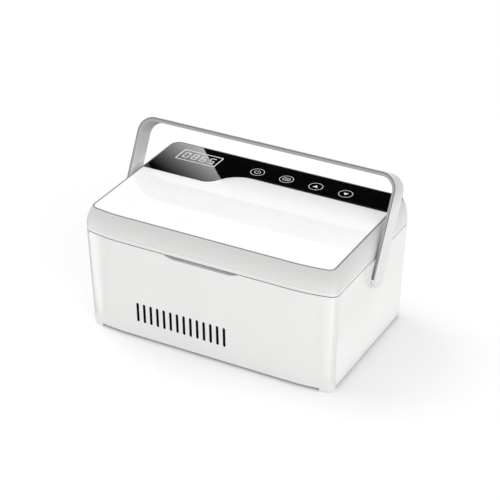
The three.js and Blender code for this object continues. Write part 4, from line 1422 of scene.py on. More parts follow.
@dataclass
class ChamberTub:
    """The tub that the insulin lies in, with its flange and the probe in its wall."""

    datum: Datum
    flange: float = 2 * MM
    flange_reach: float = 8 * MM
    wall: float = 1.5 * MM
    chamber_radius: float = 6 * MM
    floor_round: float = 3.5 * MM
    rim_round: float = 1.2 * MM
    edge_round: float = 0.4 * MM
    nose_share: float = 0.7

    def build(self) -> Form:
        """Models the tub.

        Returns:
            The form.
        """
        low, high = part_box("chamber_liner")
        seam_z = self.datum.seam_z
        outer = Plan(high.x - self.flange_reach, high.y - self.flange_reach, self.chamber_radius + self.wall)
        edge = outer.inset(-self.flange_reach)
        chamber = outer.inset(self.wall)
        return Form.loft([
            *quarter(outer, low.z, self.floor_round, 90, 0, -1),
            Ring(outer, seam_z - self.flange),
            Ring(edge, seam_z - self.flange),
            *quarter(edge, seam_z, self.edge_round, 0, 90, 1),
            *quarter(chamber, seam_z, self.rim_round, 90, 0, 1, -1),
            *quarter(chamber, low.z + self.wall, self.floor_round, 0, 90, -1),
        ])

    def probe(self) -> Form:
        """Models the round-nosed temperature probe.

        Returns:
            The form, along the longest side of its solid.
        """
        low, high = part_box("temperature_probe")
        reach = high - low
        axis = Axis(list(reach).index(max(reach)))
        radius = min(reach) / 2
        return Form.rod(axis, radius, max(reach), middle(low, high), radius * self.nose_share)

    def dress(self, dresser: Dresser) -> None:
        """Makes the pieces."""
        dresser.piece(self.build(), "chamber_tub", Body.CASE, "liner_grey", [LINER_GREY], "chamber_liner")
        dresser.piece(self.probe(), "probe_tip", Body.CASE, "steel", [STEEL], "temperature_probe")


@dataclass
class PowerInlet:
    """The power inlet in the rear wall, with its bore and centre pin."""

    bore: float = 3.2 * MM
    bore_depth: float = 9 * MM
    corner: float = 1.2 * MM
    rim: float = 0.5 * MM
    pin: float = 0.9 * MM
    pin_round: float = 0.54 * MM

    def build(self) -> Form:
        """Models the inlet's housing.

        Returns:
            The form.
        """
        low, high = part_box("dc_socket")
        form = Form.block(low, high)
        form.round_edges(lambda edge: run(edge, Axis.Y) > self.bore, self.corner)
        form.round_edges(lambda edge: lies_at(edge, Axis.Y, high.y), self.rim)
        x, _, z = middle(low, high)
        return form.carve(Carve.CUT, Form.rod(Axis.Y, self.bore, 2 * self.bore_depth, (x, high.y, z)))

    def contact(self) -> Form:
        """Models the centre pin.

        Returns:
            The form.
        """
        low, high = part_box("dc_socket")
        x, _, z = middle(low, high)
        y = high.y - self.bore_depth / 2 - self.rim
        return Form.rod(Axis.Y, self.pin, self.bore_depth, (x, y, z), self.pin_round)

    def dress(self, dresser: Dresser) -> None:
        """Makes the pieces.

        Args:
            dresser: Makes the finishes and the pieces.
        """
        dresser.piece(self.build(), "inlet_housing", Body.CASE, "black_plastic", [BLACK_PLASTIC],
                      "dc_socket")
        dresser.piece(self.contact(), "inlet_pin", Body.CASE, "steel", [STEEL])


# The lid


@dataclass
class LidRim:
    """The lid's grey frame: an upright band, a convex flank and a seat for the panels."""

    datum: Datum
    hinge: Hinge
    shell: CaseShell
    corner_share: float = 1.1
    front_share: float = -0.1
    band: float = 4 * MM
    flank: float = 4.8 * MM
    wall: float = 2.5 * MM
    crease: float = 0.45 * MM
    edge_round: float = 0.15 * MM
    crest_round: float = 0.5 * MM
    crest_start: float = 30
    flank_steps: int = 9
    seat_depth: float = 4.6 * MM
    seat_reach: float = 0.4 * MM
    ceiling_drop: float = 9 * MM
    trim_drop: float = 0.15 * MM

    def plan(self, z: float) -> Plan:
        """The outline at a height, upright in the band and curving in above it.

        Args:
            z: The height.

        Returns:
            The outline.
        """
        d = self.datum
        height = d.crest_z - d.lid_z - self.band
        radius = (height ** 2 + self.flank ** 2) / (2 * self.flank)
        rise = max(z - d.lid_z - self.band, 0)
        drawn = radius - math.sqrt(radius ** 2 - rise ** 2)
        corner = self.shell.corner - drawn * self.corner_share
        front_corner = self.shell.front_corner - drawn * self.front_share
        return Plan(d.half_width - drawn, d.half_depth - drawn, corner, front_corner)

    def seat(self) -> Plan:
        """The outline of the panels' seat."""
        crest = self.plan(self.datum.crest_z)
        return crest.inset(crest.half_x - self.datum.panel_half_x - CLEAR - self.seat_reach)

    def build(self) -> Form:
        """Models the frame.

        Returns:
            The form, with the hinge's barrel.
        """
        d = self.datum
        band, crest = self.plan(d.lid_z), self.plan(d.crest_z)
        band_z = d.lid_z + self.band
        ceiling_z = d.crest_z - self.ceiling_drop
        inside = band.inset(self.wall)
        crease = band.inset(self.crease)
        flank_low, flank_high = band_z + self.crease, d.crest_z - self.crest_round
        flank_z = [flank_low + (flank_high - flank_low) * step / self.flank_steps
                   for step in range(self.flank_steps + 1)]
        form = Form.loft([
            Ring(self.plan(ceiling_z).inset(self.wall), ceiling_z),
            Ring(inside, band_z),
            Ring(inside, d.lid_z),
            *quarter(band, d.lid_z, self.edge_round, 90, 0, -1),
            Ring(band, band_z - self.crease),
            Ring(crease, band_z - self.crease / 2),
            Ring(crease, band_z),
            *[Ring(self.plan(z), z) for z in flank_z],
            *quarter(crest, d.crest_z, self.crest_round, self.crest_start, 90, 1),
            Ring(self.seat(), d.crest_z),
            Ring(self.seat(), d.crest_z - self.seat_depth),
        ]).crown_front()
        form.carve(Carve.CUT, *self.hinge.rods(d.hinge_radius + CLEAR, self.hinge.knuckle + 2 * CLEAR))
        for face in form.bm.faces:
            face.material_index = int(face.calc_center_median().z < band_z)
        return form.add(*self.hinge.barrel())

    def trim(self) -> Form:
        """Models the thin grey line between the frame and the panels."""
        high = self.datum.top_z - self.trim_drop
        return Form.frame(self.seat(), TopPanels.trim_width, self.datum.panel_z, high).crown_front()

    def dress(self, dresser: Dresser) -> None:
        """Makes the pieces."""
        # The rim's flank carries painted shade, darker towards the top.
        dresser.piece(self.build(), "lid_rim", Body.LID, "lid_grey", [LID_GREY_PAINTED_SHADE, LID_BAND], "lid_frame")
        dresser.piece(self.trim(), "panel_trim", Body.LID, "lid_grey", [TRIM_GREY])


@dataclass
class TopPanels:
    """The glossy white top and the black panel, which meet along an S-shaped step."""

    datum: Datum
    corner: float = 7.7 * MM
    front_corner: float = 4.4 * MM
    step_x: float = -43.5 * MM
    step_turn: float = 57
    step_radius: float = 14 * MM
    bend_radius: float = 27 * MM
    bend_steps: int = 14
    line_shift: float = 0.8 * MM
    edge_round: float = 0.25 * MM
    key_hole: float = 7.5 * MM
    trim_width: float = 1.1 * MM

    def edge(self, offset: float) -> list[tuple[float, float]]:
        """The corners of the step, from left to right.

        Args:
            offset: How far the line is moved right and towards the front.

        Returns:
            The two corners between the lines of the display's and the keys' part.
        """
        deep_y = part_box("control_panel")[0].y - self.line_shift
        key_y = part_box("top_panel")[1].y + CLEAR - self.line_shift
        half_run = (key_y - deep_y) / 2 / math.tan(math.radians(self.step_turn))
        return [(self.step_x - half_run + offset, deep_y - offset),
                (self.step_x + half_run + offset, key_y - offset)]

    def half_sizes(self, margin: float = 0) -> list[float]:
        """The half width and half depth inside the trim, made larger by a margin."""
        halves = (self.datum.panel_half_x, self.datum.panel_half_y)
        return [half + CLEAR - self.trim_width + margin for half in halves]

    def panel(self, outline: Outline, rounds: dict[int, float], step: int, bend: int) -> Form:
        """A panel with round corners, a curved step and a softened top edge.

        Args:
            outline: Its corners as (x, y), anticlockwise.
            rounds: The tangent length of the rounds at its outer corners, by their numbers.
            step: The number of the step's left corner.
            bend: The number of the step's right corner.

        Returns:
            The form.
        """
        d = self.datum
        tangent = math.tan(math.radians(self.step_turn / 2))
        rounds |= {step: tangent * self.step_radius, bend: tangent * self.bend_radius}
        form = Form.prism(outline, d.top_z - d.panel_z, rounds, self.bend_steps).shift(z=d.panel_z)
        return form.round_edges(lambda edge: lies_at(edge, Axis.Z, d.top_z), self.edge_round)

    def white(self) -> Form:
        """Models the white top.

        Returns:
            The form.
        """
        half_x, half_y = self.half_sizes()
        low, high = self.edge(CLEAR)
        outline = [(-half_x, -half_y), (half_x, -half_y), (half_x, high[1]), high, low, (-half_x, low[1])]
        return self.panel(outline, {0: self.front_corner, 1: self.front_corner}, 4, 3).crown_front()

    def black_panel(self, margin: float = 0) -> Form:
        """The black panel without its key holes.

        Args:
            margin: How much larger it is made all round.

        Returns:
            The form.
        """
        half_x, half_y = self.half_sizes(margin)
        low, high = self.edge(margin)
        outline = [(-half_x, low[1]), low, high, (half_x, high[1]), (half_x, half_y), (-half_x, half_y)]
        return self.panel(outline, {4: self.corner, 5: self.corner}, 1, 2)

    def black_outline(self, margin: float) -> Form:
        """The top face of the black panel alone.

        Args:
            margin: How much larger it is made all round.

        Returns:
            The form, which is open.
        """
        form = self.black_panel(margin)
        others = [face for face in form.bm.faces if face.calc_center_median().z < self.datum.top_z - NEAR]
        bmesh.ops.delete(form.bm, geom=others, context="FACES")
        return form

    def black(self, places: Iterable[Vector]) -> Form:
        """Models the black panel.

        Args:
            places: The middles of its key holes.

        Returns:
            The form.
        """
        top_z = self.datum.top_z
        length = 4 * (top_z - self.datum.panel_z)
        holes = [Form.rod(Axis.Z, self.key_hole, length, (place.x, place.y, top_z)) for place in places]
        return self.black_panel().carve(Carve.CUT, *holes)

    def dress(self, dresser: Dresser, places: Iterable[Vector]) -> None:
        """Makes the pieces.

        Args:
            dresser: Makes the finishes and the pieces.
            places: The middles of the key holes.
        """
        dresser.piece(self.white(), "white_top", Body.LID, "top_white", [TOP_WHITE], "top_panel")
        dresser.piece(self.black(places), "black_panel", Body.LID, "panel_black", [PANEL_BLACK],
                      "control_panel")


@dataclass
class KeyPad:
    """The four flush keys with their printed rings and icons."""

    datum: Datum
    flange: float = 8.6 * MM
    flange_drop: float = 1.1 * MM
    stem: float = 2.4 * MM
    cap: float = 7.2 * MM
    edge_round: float = 0.2 * MM
    ring_outer: float = 7 * MM
    ring_line: float = 0.52 * MM
    icon_line: float = 0.6 * MM
    power_radius: float = 3.2 * MM
    power_opening: float = 75
    power_bar: Pair = (0.48 * MM, 3.68 * MM)
    mode_size: Pair = (7.6 * MM, 5.6 * MM)
    mode_bar: Pair = (3.8 * MM, 0.42 * MM)
    arrow_size: Pair = (5.2 * MM, 4.3 * MM)
    arrow_round: float = 0.25 * MM
    arrow_balance: float = 0.4

    @property
    def names(self) -> dict[str, Body]:
        """The keys' names and bodies."""
        return {"power": Body.POWER, "mode": Body.MODE, "up": Body.UP, "down": Body.DOWN}

    def place(self, name: str) -> Vector:
        """The middle of a key's top."""
        low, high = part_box(f"{name}_key")
        return Vector((*middle(low, high)[:2], high.z))

    def build(self, name: str) -> Form:
        """Models a key's cap.

        Args:
            name: The key's name.

        Returns:
            The form, in place.
        """
        low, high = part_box(f"{name}_key")
        flange_low, flange_high = self.datum.panel_z - self.flange_drop, self.datum.panel_z - CLEAR
        outline = [
            (0, low.z), (self.stem, low.z), (self.stem, flange_low), (self.flange, flange_low),
            (self.flange, flange_high), (self.cap, flange_high), (self.cap, high.z - self.edge_round),
            (self.cap - self.edge_round, high.z), (0, high.z),
        ]
        return Form.turned(outline).shift(*self.place(name).xy)

    def band(self, outer: float, line: float, angle: float = 2 * math.pi) -> Form:
        """A printed ring or arc of an outer radius, with a line's width."""
        inner = outer - line
        return Form.turned([(inner, -INK), (outer, -INK), (outer, INK), (inner, INK)], angle)

    def bar(self, low: Point, high: Point) -> Form:
        """A printed bar between two corners in X and Y."""
        return Form.block((*low, -INK), (*high, INK))

    def power_icon(self) -> Form:
        """An open ring with a bar in its opening.

        Returns:
            The form, about the origin.
        """
        angle = math.radians(360 - self.power_opening)
        arc = self.band(self.power_radius, self.icon_line, angle)
        arc.turn(math.radians(90 + self.power_opening / 2), Axis.Z)
        half = self.icon_line / 2
        return arc.add(self.bar((-half, self.power_bar[0]), (half, self.power_bar[1])))

    def mode_icon(self) -> Form:
        """A small frame with two bars in it.

        Returns:
            The form, about the origin.
        """
        width, height = self.mode_size
        form = Form.frame(Plan(width / 2, height / 2, height / 3), self.icon_line, -INK, INK)
        reach, line = (size / 2 for size in self.mode_bar)
        for y in (-height / 9, height / 9):
            form.add(self.bar((-reach, y - line), (reach, y + line)))
        return form

    def arrow_icon(self, up: int) -> Form:
        """A filled triangle.

        Args:
            up: 1 where it points to the rear, -1 where it points to the front.

        Returns:
            The form, about the origin.
        """
        width, height = self.arrow_size
        base_y = -height * self.arrow_balance
        outline = [(-width / 2, base_y), (width / 2, base_y), (0, base_y + height)]
        form = Form.prism(outline, 2 * INK, dict.fromkeys(range(3), self.arrow_round), FILLET_STEPS)
        form.shift(z=-INK)
        return form if up > 0 else form.turn(math.pi, Axis.Z)

    def dress(self, dresser: Dresser) -> None:
        """Makes the pieces.

        Args:
            dresser: Makes the finishes and the pieces.
        """
        icons = {"power": self.power_icon(), "mode": self.mode_icon(), "up": self.arrow_icon(1),
                 "down": self.arrow_icon(-1)}
        for name, body in self.names.items():
            dresser.piece(self.build(name), f"{name}_cap", body, "panel_black", [PANEL_BLACK], f"{name}_key")
            marks = icons[name].add(self.band(self.ring_outer, self.ring_line)).shift(*self.place(name))
            dresser.piece(marks, f"{name}_marks", body, "top_white", [WHITE_INK])


@dataclass
class Display:
    """The display's printed frame and its lit seven-segment figures."""

    datum: Datum
    centre: Pair = (-84.3 * MM, 56.6 * MM)
    size: Pair = (43.5 * MM, 21 * MM)
    line: float = 1.1 * MM
    corner: float = 1.2 * MM
    number: str = "0865"
    figure: Pair = (6.2 * MM, 11 * MM)
    stroke: float = 1.1 * MM
    stroke_round: float = 0.33 * MM
    pitch: float = 9.4 * MM

    def frame_line(self) -> Form:
        """Models the printed frame."""
        return Form.frame(Plan(self.size[0] / 2, self.size[1] / 2, self.corner), self.line, -INK, INK)

    def segment(self, x: float, y: float, upright: bool) -> Form:
        """One bar of a figure.

        Args:
            x: Its middle along X.
            y: Its middle along Y.
            upright: Whether it stands or lies.

        Returns:
            The form.
        """
        length = self.figure[1] / 2 - self.stroke if upright else self.figure[0] - self.stroke
        half_x, half_y = (self.stroke / 2, length / 2) if upright else (length / 2, self.stroke / 2)
        at, half = Vector((x, y, 0)), Vector((half_x, half_y, INK))
        form = Form.block(at - half, at + half)
        return form.round_edges(lambda edge: run(edge, Axis.Z) > INK, self.stroke_round)

    def figures(self) -> Form:
        """Models the number's row of figures.

        Returns:
            The form, centred on the origin.
        """
        lit = {"0": "abcdef", "1": "bc", "2": "abged", "3": "abgcd", "4": "fgbc", "5": "afgcd",
               "6": "afgedc", "7": "abc", "8": "abcdefg", "9": "abcdfg"}
        half_x, half_y = ((size - self.stroke) / 2 for size in self.figure)
        bars = {"a": (0, half_y, False), "g": (0, 0, False), "d": (0, -half_y, False),
                "f": (-half_x, half_y / 2, True), "b": (half_x, half_y / 2, True),
                "e": (-half_x, -half_y / 2, True), "c": (half_x, -half_y / 2, True)}
        form = Form()
        for place, digit in enumerate(self.number):
            shift = (place - (len(self.number) - 1) / 2) * self.pitch
            for name in lit[digit]:
                x, y, upright = bars[name]
                form.add(self.segment(x + shift, y, upright))
        return form

    def dress(self, dresser: Dresser) -> None:
        """Makes the pieces.

        Args:
            dresser: Makes the finishes and the pieces.
        """
        for form, name in ((self.frame_line(), "display_frame"), (self.figures(), "display_figures")):
            form.shift(*self.centre, self.datum.top_z)
            dresser.piece(form, name, Body.LID, "top_white", [WHITE_INK])


@dataclass
class LidInner:
    """The lid's inner plate with its plug, and the rubber seal round the plug."""

    datum: Datum
    rim: LidRim
    fasteners: Fasteners
    plate: float = 3 * MM
    plate_gap: float = 0.3 * MM
    plug_half: Pair = (100 * MM, 54 * MM)
    plug_radius: float = 6 * MM
    plug_round: float = 2 * MM
    edge_round: float = 0.5 * MM
    seal_corner: float = 11 * MM
    seal_round: float = 0.8 * MM

    def build(self) -> Form:
        """Models the plate and the plug as one moulding.

        Returns:
            The form.
        """
        low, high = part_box("lid_liner")
        outer = self.rim.plan(self.datum.lid_z).inset(self.rim.wall + self.plate_gap)
        under_z = high.z - self.plate
        plug = Plan(*self.plug_half, self.plug_radius)
        form = Form.loft([
            Ring(outer, high.z),
            *quarter(outer, under_z, self.edge_round, 0, 90, -1),
            *quarter(plug, under_z, self.edge_round, 90, 0, -1, -1),
            *quarter(plug, low.z, self.plug_round, 0, 90, -1),
        ]).crown_front()
        form.keep_beyond((0, high.y, 0), (0, -1, 0))
        return form.carve(Carve.CUT, *self.fasteners.sinks(self.fasteners.nodes("lid"), under_z))

    def seal(self) -> Form:
        """Models the seal with a rounded lip.

        Returns:
            The form.
        """
        low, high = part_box("lid_gasket")
        outer = Plan(high.x, high.y, self.seal_corner)
        inner = outer.inset(high.x - self.plug_half[0] - CLEAR)
        return Form.loft([
            Ring(outer, high.z),
            *quarter(outer, low.z, self.seal_round, 0, 90, -1),
            *quarter(inner, low.z, self.seal_round, 90, 0, -1, -1),
            Ring(inner, high.z),
            Ring(outer, high.z),
        ], endless=True)

    def dress(self, dresser: Dresser) -> None:
        """Makes the pieces."""
        dresser.piece(self.build(), "inner_plate", Body.LID, "liner_grey", [LINER_GREY], "lid_liner")
        dresser.piece(self.seal(), "seal_lip", Body.LID, "seal_rubber", [SEAL_RUBBER], "lid_gasket")


# The handle


@dataclass
class Bail:
    """The flat strap handle, an outer and an inner moulding hung on two pins."""

    datum: Datum
    shell: CaseShell
    thickness: float = 3.2 * MM
    bar: float = 4.1 * MM
    width: float = 22 * MM
    reach: float = 93 * MM
    bend: float = 16 * MM
    bend_steps: int = 16
    edge_round: float = 0.5 * MM
    joint_round: float = 0.12 * MM
    sharp: float = 60
    lean: float = 28.2
    bore: float = 4.3 * MM
    bore_stop: float = 0.2 * MM
    outer_share: float = 0.42
    end_share: float = 1.02

    @property
    def outer_x(self) -> float:
        """The outer face of an arm."""
        return self.datum.pad_x + CLEAR + self.thickness

    def layer(self, start: float, end: float) -> Form:
        """One moulding of the strap, upright and with round ends.

        Args:
            start: The share of the thickness at its outer face.
            end: The share of the thickness at its inner face.

        Returns:
            The form, about the pivot.
        """
        half = self.width / 2
        out_x, in_x = (self.outer_x - share * self.thickness for share in (start, end))
        out_z, in_z = (self.reach - share * self.bar for share in (start, end))
        out_bend, in_bend = (self.bend - share * self.thickness for share in (start, end))
        outline = [(-out_x, -half), (-in_x, -half), (-in_x, in_z), (in_x, in_z), (in_x, -half),
                   (out_x, -half), (out_x, out_z), (-out_x, out_z)]
        rounds = {2: in_bend, 3: in_bend, 6: out_bend, 7: out_bend}
        form = Form.prism(outline, self.width, rounds, self.bend_steps)
        form.turn(math.pi / 2, Axis.X).shift(y=half)
        reach = self.outer_x + OVERCUT
        below = Form.block((-reach, -self.width, -self.width), (reach, self.width, CLEAR))
        below.carve(Carve.CUT, Form.rod(Axis.X, half * self.end_share, 3 * reach, (0, 0, 0)))
        form.carve(Carve.CUT, below)
        outside = self.edge_round if start == 0 else self.joint_round
        inside = self.edge_round if end == 1 else self.joint_round
        half_way = (start + end) / 2
        for outer_side, radius in ((True, outside), (False, inside)):
            form.round_edges(lambda edge: edge.calc_face_angle(0) > math.radians(self.sharp)
                             and (self.share(edge) < half_way) == outer_side, radius)
        return form

    def share(self, edge: Edge) -> float:
        """How deep an edge of the upright strap lies.

        Args:
            edge: The edge.

        Returns:
            0 at the strap's outer face and 1 at its inner one.
        """
        point = (edge.verts[0].co + edge.verts[1].co) / 2
        across, up = abs(point.x) - (self.outer_x - self.bend), point.z - (self.reach - self.bend)
        if across > 0 and up > 0:
            return (self.bend - math.hypot(across, up)) / self.thickness
        if up > 0:
            return (self.reach - point.z) / self.bar
        return (self.outer_x - abs(point.x)) / self.thickness

    def lean_back(self, form: Form) -> Form:
        """Leans an upright form as photographed and lifts it to the pivot."""
        pivot_z = self.datum.seam_z - self.shell.pivot_drop
        return form.turn(-math.radians(self.lean), Axis.X).shift(z=pivot_z)

    def moulding(self, start: float, end: float) -> Form:
        """One moulding with its front and rear edges marked for a darker finish, partly a dark edge tone and
        partly painted shade.

        Args:
            start: The share of the thickness at its outer face.
            end: The share of the thickness at its inner face.

        Returns:
            The form, upright about the pivot.
        """
        form = self.layer(start, end)
        form.bm.normal_update()
        for face in form.bm.faces:
            # Front and rear faces take the darker finish, which carries painted shade.
            face.material_index = int(abs(face.normal.y) > FACING)
        return form

    def outer(self) -> Form:
        """Models the outer moulding."""
        return self.lean_back(self.moulding(0, self.outer_share))

    def inner(self) -> Form:
        """Models the inner moulding with the blind bores for the pins.

        Returns:
            The form, in place.
        """
        inner_x = self.outer_x - self.thickness
        length = 2 * self.thickness * (1 - self.outer_share) - 2 * self.bore_stop
        bores = [Form.rod(Axis.X, self.bore, length, (side * inner_x, 0, 0)) for side in (-1, 1)]
        return self.lean_back(self.moulding(self.outer_share, 1).carve(Carve.CUT, *bores))

    def dress(self, dresser: Dresser) -> None:
        """Makes the pieces.

        Args:
            dresser: Makes the finishes and the pieces.
        """
        # The outer moulding's face and edges carry painted shade by height.
        dresser.piece(self.outer(), "bail_outer", Body.HANDLE, "handle_grey", [HANDLE_OUTER_PAINTED_SHADE, HANDLE_DARK_EDGE_AND_PAINTED_SHADE],
                      "handle")
        # The inner moulding carries painted light and shade by height, and painted shadow on its edges at
        # the foot.
        dresser.piece(self.inner(), "bail_inner", Body.HANDLE, "handle_grey", [HANDLE_INNER_PAINTED_LIGHT_AND_SHADE, HANDLE_LIP_PAINTED_SHADOW])


# The studio


@dataclass(frozen=True)
class Strip:
    """A sector on the floor that a front corner of the case mirrors as an upright strip.

    The side is 1 for the right corner and -1 for the left one. Directions are in degrees, 0 to the front
    and 90 to the right.
    """

    name: str
    side: int
    start: float
    end: float
    level: float


@dataclass
class Cards:
    """Studio cards that only reflections show: a lit and a dark one for the panel, a glow and strips."""

    datum: Datum
    panels: TopPanels
    eye: Vector
    behind: float = 0.6
    margin: float = 3 * MM
    sheen_level: float = 4.25
    sheen_fade: float = 63.8 * MM
    sheen_power: float = 1.5
    sheen_aim: float = 58.7
    sheen_step: float = 30 * MM
    sheen_start: Pair = (-92.2 * MM, 77.8 * MM)
    sheen_end: Pair = (-44.5 * MM, 28 * MM)
    glow_z: Pair = (2 * MM, 48 * MM)
    glow_lift: float = 0.4 * MM
    glow_level: float = 1.25
    strip_inset: Pair = (12 * MM, 2 * MM)
    strip_radii: Pair = (20 * MM, 400 * MM)
    strip_lift: float = 0.5 * MM
    strip_steps: int = 24
    strips: tuple[Strip, ...] = (
        Strip("right_gap", side=1, start=-11, end=-4, level=0.25),
        Strip("right_strip", side=1, start=-3, end=66, level=2.1),
        Strip("right_flag", side=1, start=74, end=147, level=0.0),
        Strip("left_gap", side=-1, start=-50, end=-40, level=0.3),
        Strip("left_strip", side=-1, start=-66, end=-54, level=3.2),
        Strip("left_flag", side=-1, start=-180, end=-68, level=0.0),
    )

    def project(self, point: Vector) -> Vector:
        """The place on the card's plane that a point of the panel mirrors to the camera.

        Args:
            point: The point.

        Returns:
            The place.
        """
        mirrored = Vector((self.eye.x, self.eye.y, 2 * self.datum.top_z - self.eye.z))
        share = (self.behind - mirrored.y) / (point.y - mirrored.y)
        return mirrored + (point - mirrored) * share

    def show(self, form: Form, name: str, material: Material) -> None:
        """Hangs a card that only glossy rays meet.

        Args:
            form: The card's form.
            name: Its name.
            material: Its material.
        """
        item = form.to_object(name)
        item.data.materials.append(material)
        item.visible_camera = False
        item.visible_diffuse = False
        item.visible_transmission = False
        item.visible_volume_scatter = False
        item.visible_shadow = False

    def lit(self, name: str, level: float) -> Paint:
        """Starts a plain card material.

        Args:
            name: The material's name.
            level: Its emission level.

        Returns:
            The material's nodes.
        """
        paint = Paint(name)
        paint.surface(Base_Color=(0, 0, 0, 1), Specular_IOR_Level=0.0, Emission_Color=(1, 1, 1, 1),
                      Emission_Strength=level)
        return paint

    def sheen_slope(self, first: Vector) -> Vector:
        """The sheen's fall on the card's plane, worked out from its fall on the panel.

        Args:
            first: The point of the panel where the sheen is at its full level.

        Returns:
            The fall in a metre along each axis.
        """
        start, step = self.project(first), self.sheen_step
        wide, deep = (self.project(first + Vector(move)) - start for move in ((step, 0, 0), (0, step, 0)))
        aim = math.radians(self.sheen_aim)
        fall = Vector((-math.cos(aim), -math.sin(aim))) * step / self.sheen_fade
        slope = Matrix(((wide.x, wide.z), (deep.x, deep.z))).inverted() @ fall
        return Vector((slope.x, 0, slope.y))

    def sheen(self, first: Vector) -> Material:
        """Makes the lit card's material, which fades away from a line.

        Args:
            first: The point of the panel where the sheen is at its full level.

        Returns:
            The material.
        """
        paint = self.lit("sheen_card", 0)
        offset = paint.reckon("ShaderNodeVectorMath", "SUBTRACT", paint.place, self.project(first))
        share = paint.reckon("ShaderNodeVectorMath", "DOT_PRODUCT", offset.outputs["Vector"],
                             self.sheen_slope(first))
        left = paint.spread(share.outputs["Value"], 1, 0, 0, 1)
        fade = paint.reckon("ShaderNodeMath", "POWER", left, self.sheen_power)
        level = paint.reckon("ShaderNodeMath", "MULTIPLY", fade.outputs[0], self.sheen_level)
        paint.surface(Emission_Strength=level.outputs[0])
        return paint.material

    def panel_cards(self) -> None:
        """Hangs the two cards behind the case that its black panel mirrors."""
        first, second = (Vector((*point, self.datum.top_z)) for point in (self.sheen_start, self.sheen_end))
        along = (second - first).normalized()
        across = Vector((along.y, -along.x, 0))
        cards = (("sheen_card", across, self.sheen(first)),
                 ("dark_card", -across, self.lit("dark_card", 0).material))
        for name, side, material in cards:
            form = self.panels.black_outline(self.margin)
            form.split(first, side, HAIR, False)
            for vert in form.bm.verts:
                vert.co = self.project(vert.co)
            self.show(form, name, material)

    def floor_strip(self, strip: Strip) -> None:
        """Lays a strip's sector on the floor.

        Args:
            strip: The strip.
        """
        form = Form()
        ends = [form.bm.verts.new((radius, 0, 0)) for radius in self.strip_radii]
        edge = form.bm.edges.new(ends)
        bmesh.ops.spin(form.bm, geom=[*ends, edge], cent=(0, 0, 0), axis=(0, 0, 1),
                       angle=math.radians(strip.end - strip.start), steps=self.strip_steps)
        form.turn(math.radians(strip.start - 90), Axis.Z)
        x, y = self.datum.half_width - self.strip_inset[0], self.datum.half_depth - self.strip_inset[1]
        form.shift(strip.side * x, -y, self.strip_lift)
        self.show(form, strip.name, self.lit(strip.name, strip.level).material)

    def side_glow(self) -> None:
        """Lays a card on the floor that the right side mirrors between two heights."""
        d = self.datum
        away = Vector((d.half_width, 0, 0)) - self.eye
        along = Vector((-away.x, away.y, 0)) / -away.z
        low_z, high_z = self.glow_z
        form = Form()
        corners = [form.bm.verts.new(Vector((d.half_width, side * d.half_depth, 0)) + along * z)
                   for side, z in ((-1, low_z), (-1, high_z), (1, high_z), (1, low_z))]
        form.bm.faces.new(corners)
        form.shift(z=self.glow_lift)
        self.show(form, "right_glow", self.lit("right_glow", self.glow_level).material)

    def set_up(self) -> None:
        """Hangs every card."""
        self.panel_cards()
        self.side_glow()
        for strip in self.strips:
            self.floor_strip(strip)


@dataclass(frozen=True)
class Direction:
    """Where a lamp hangs: degrees round from the front to the right, degrees up, and metres away."""

    azimuth: float
    elevation: float
    distance: float


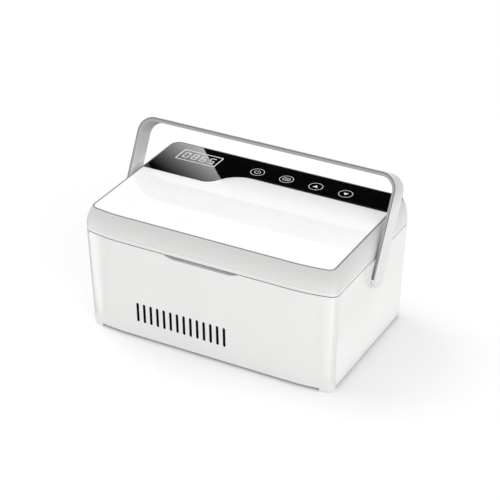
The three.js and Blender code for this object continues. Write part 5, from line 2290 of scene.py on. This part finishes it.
@dataclass
class Studio:
    """The pale floor, the light and the camera."""

    camera_place: tuple[float, float, float] = (659.1 * MM, -1221.9 * MM, 876.8 * MM)
    camera_yaw: float = 28.27
    camera_pitch: float = 30.0
    lens: float = 122.5
    sensor: float = 36
    world_level: float = 0.84
    floor_half: float = 6.0
    floor_tone: float = 0.88
    floor_roughness: float = 0.9
    floor_lift: float = 0.08
    sun_place: Direction = Direction(azimuth=-96, elevation=50, distance=3)
    sun_level: float = 0.75
    sun_spread: float = 45
    fill_place: Direction = Direction(azimuth=58, elevation=30, distance=2.4)
    fill_level: float = 10
    fill_size: float = 1.6

    def floor(self) -> None:
        """Lays a white floor that keeps the object's shadow."""
        form = Form()
        bmesh.ops.create_grid(form.bm, x_segments=1, y_segments=1, size=self.floor_half)
        item = form.to_object("studio_floor")
        paint = Paint("floor_white")
        paint.surface(Base_Color=(*(self.floor_tone,) * 3, 1), Roughness=self.floor_roughness,
                      Specular_IOR_Level=0.0, Emission_Color=(1, 1, 1, 1),
                      Emission_Strength=paint.ray_level(self.floor_lift, 0))
        item.data.materials.append(paint.material)

    def sky(self) -> None:
        """Sets an even white room, seen as white and lighting a little less."""
        world = bpy.data.worlds.new("white_room")
        bpy.context.scene.world = world
        world.use_nodes = True
        book = NodeBook(world.node_tree)
        background = book.tree.nodes["Background"]
        book.feed(background.inputs["Color"], (1, 1, 1, 1))
        book.feed(background.inputs["Strength"], book.ray_level(1, self.world_level))

    def hang(self, light: bpy.types.Light, place: Direction) -> None:
        """Hangs a lamp that points at the object and isn't mirrored by it.

        Args:
            light: The lamp.
            place: Where it hangs.
        """
        turn, rise = math.radians(place.azimuth), math.radians(place.elevation)
        away = Vector((math.sin(turn) * math.cos(rise), -math.cos(turn) * math.cos(rise), math.sin(rise)))
        item = bpy.data.objects.new(light.name, light)
        item.location = away * place.distance
        item.rotation_mode = "QUATERNION"
        item.rotation_quaternion = (-away).to_track_quat("-Z", "Y")
        item.visible_glossy = False
        bpy.context.scene.collection.objects.link(item)

    def lamps(self) -> None:
        """Hangs a soft sun at the left of the case and a wide fill at its right front."""
        sun = bpy.data.lights.new("soft_sun", "SUN")
        sun.energy = self.sun_level
        sun.angle = math.radians(self.sun_spread)
        self.hang(sun, self.sun_place)
        fill = bpy.data.lights.new("front_fill", "AREA")
        fill.size = self.fill_size
        fill.energy = self.fill_level
        self.hang(fill, self.fill_place)

    def camera(self) -> None:
        """Sets the camera at the photograph's angle."""
        data = bpy.data.cameras.new("camera")
        data.lens = self.lens
        data.sensor_width = self.sensor
        item = bpy.data.objects.new("camera", data)
        item.location = self.camera_place
        item.rotation_euler = (math.radians(90 - self.camera_pitch), 0, math.radians(self.camera_yaw))
        bpy.context.scene.collection.objects.link(item)
        bpy.context.scene.camera = item

    def set_up(self, datum: Datum, panels: TopPanels) -> None:
        """Builds the whole studio round the case.

        Args:
            datum: The case's sizes.
            panels: The panels that the cards are mirrored in.
        """
        self.camera()
        self.floor()
        self.sky()
        self.lamps()
        Cards(datum, panels, Vector(self.camera_place)).set_up()
        bpy.context.scene.view_settings.view_transform = "Standard"


def dress_inner_nodes(dresser: Dresser) -> None:
    """Gives every solid that is shown as it is a finish by its material slot.

    Args:
        dresser: Makes the finishes.
    """
    for part in frame["record"]["subparts"]:
        node = frame["nodes"][part["node"]]
        if not node.hide_render:
            material = dresser.material(SLOT_FINISHES[part["material_slot"]])
            node.data.materials.clear()
            node.data.materials.append(material)


def main() -> None:
    """Builds every sub-assembly, dresses it and sets up the studio."""
    logging.basicConfig(level=logging.INFO, format="%(message)s")
    datum = Datum()
    dresser = Dresser()
    hinge = Hinge(datum)
    fasteners = Fasteners()
    shell = CaseShell(datum, hinge)
    shell.dress(dresser)
    BasePlate(datum, shell, fasteners).dress(dresser)
    ChamberTub(datum).dress(dresser)
    PowerInlet().dress(dresser)
    rim = LidRim(datum, hinge, shell)
    rim.dress(dresser)
    keys = KeyPad(datum)
    panels = TopPanels(datum)
    panels.dress(dresser, [keys.place(name) for name in keys.names])
    keys.dress(dresser)
    Display(datum).dress(dresser)
    LidInner(datum, rim, fasteners).dress(dresser)
    Bail(datum, shell).dress(dresser)
    fasteners.dress(dresser)
    dress_inner_nodes(dresser)
    Studio().set_up(datum, panels)


if __name__ == "__main__":
    main()
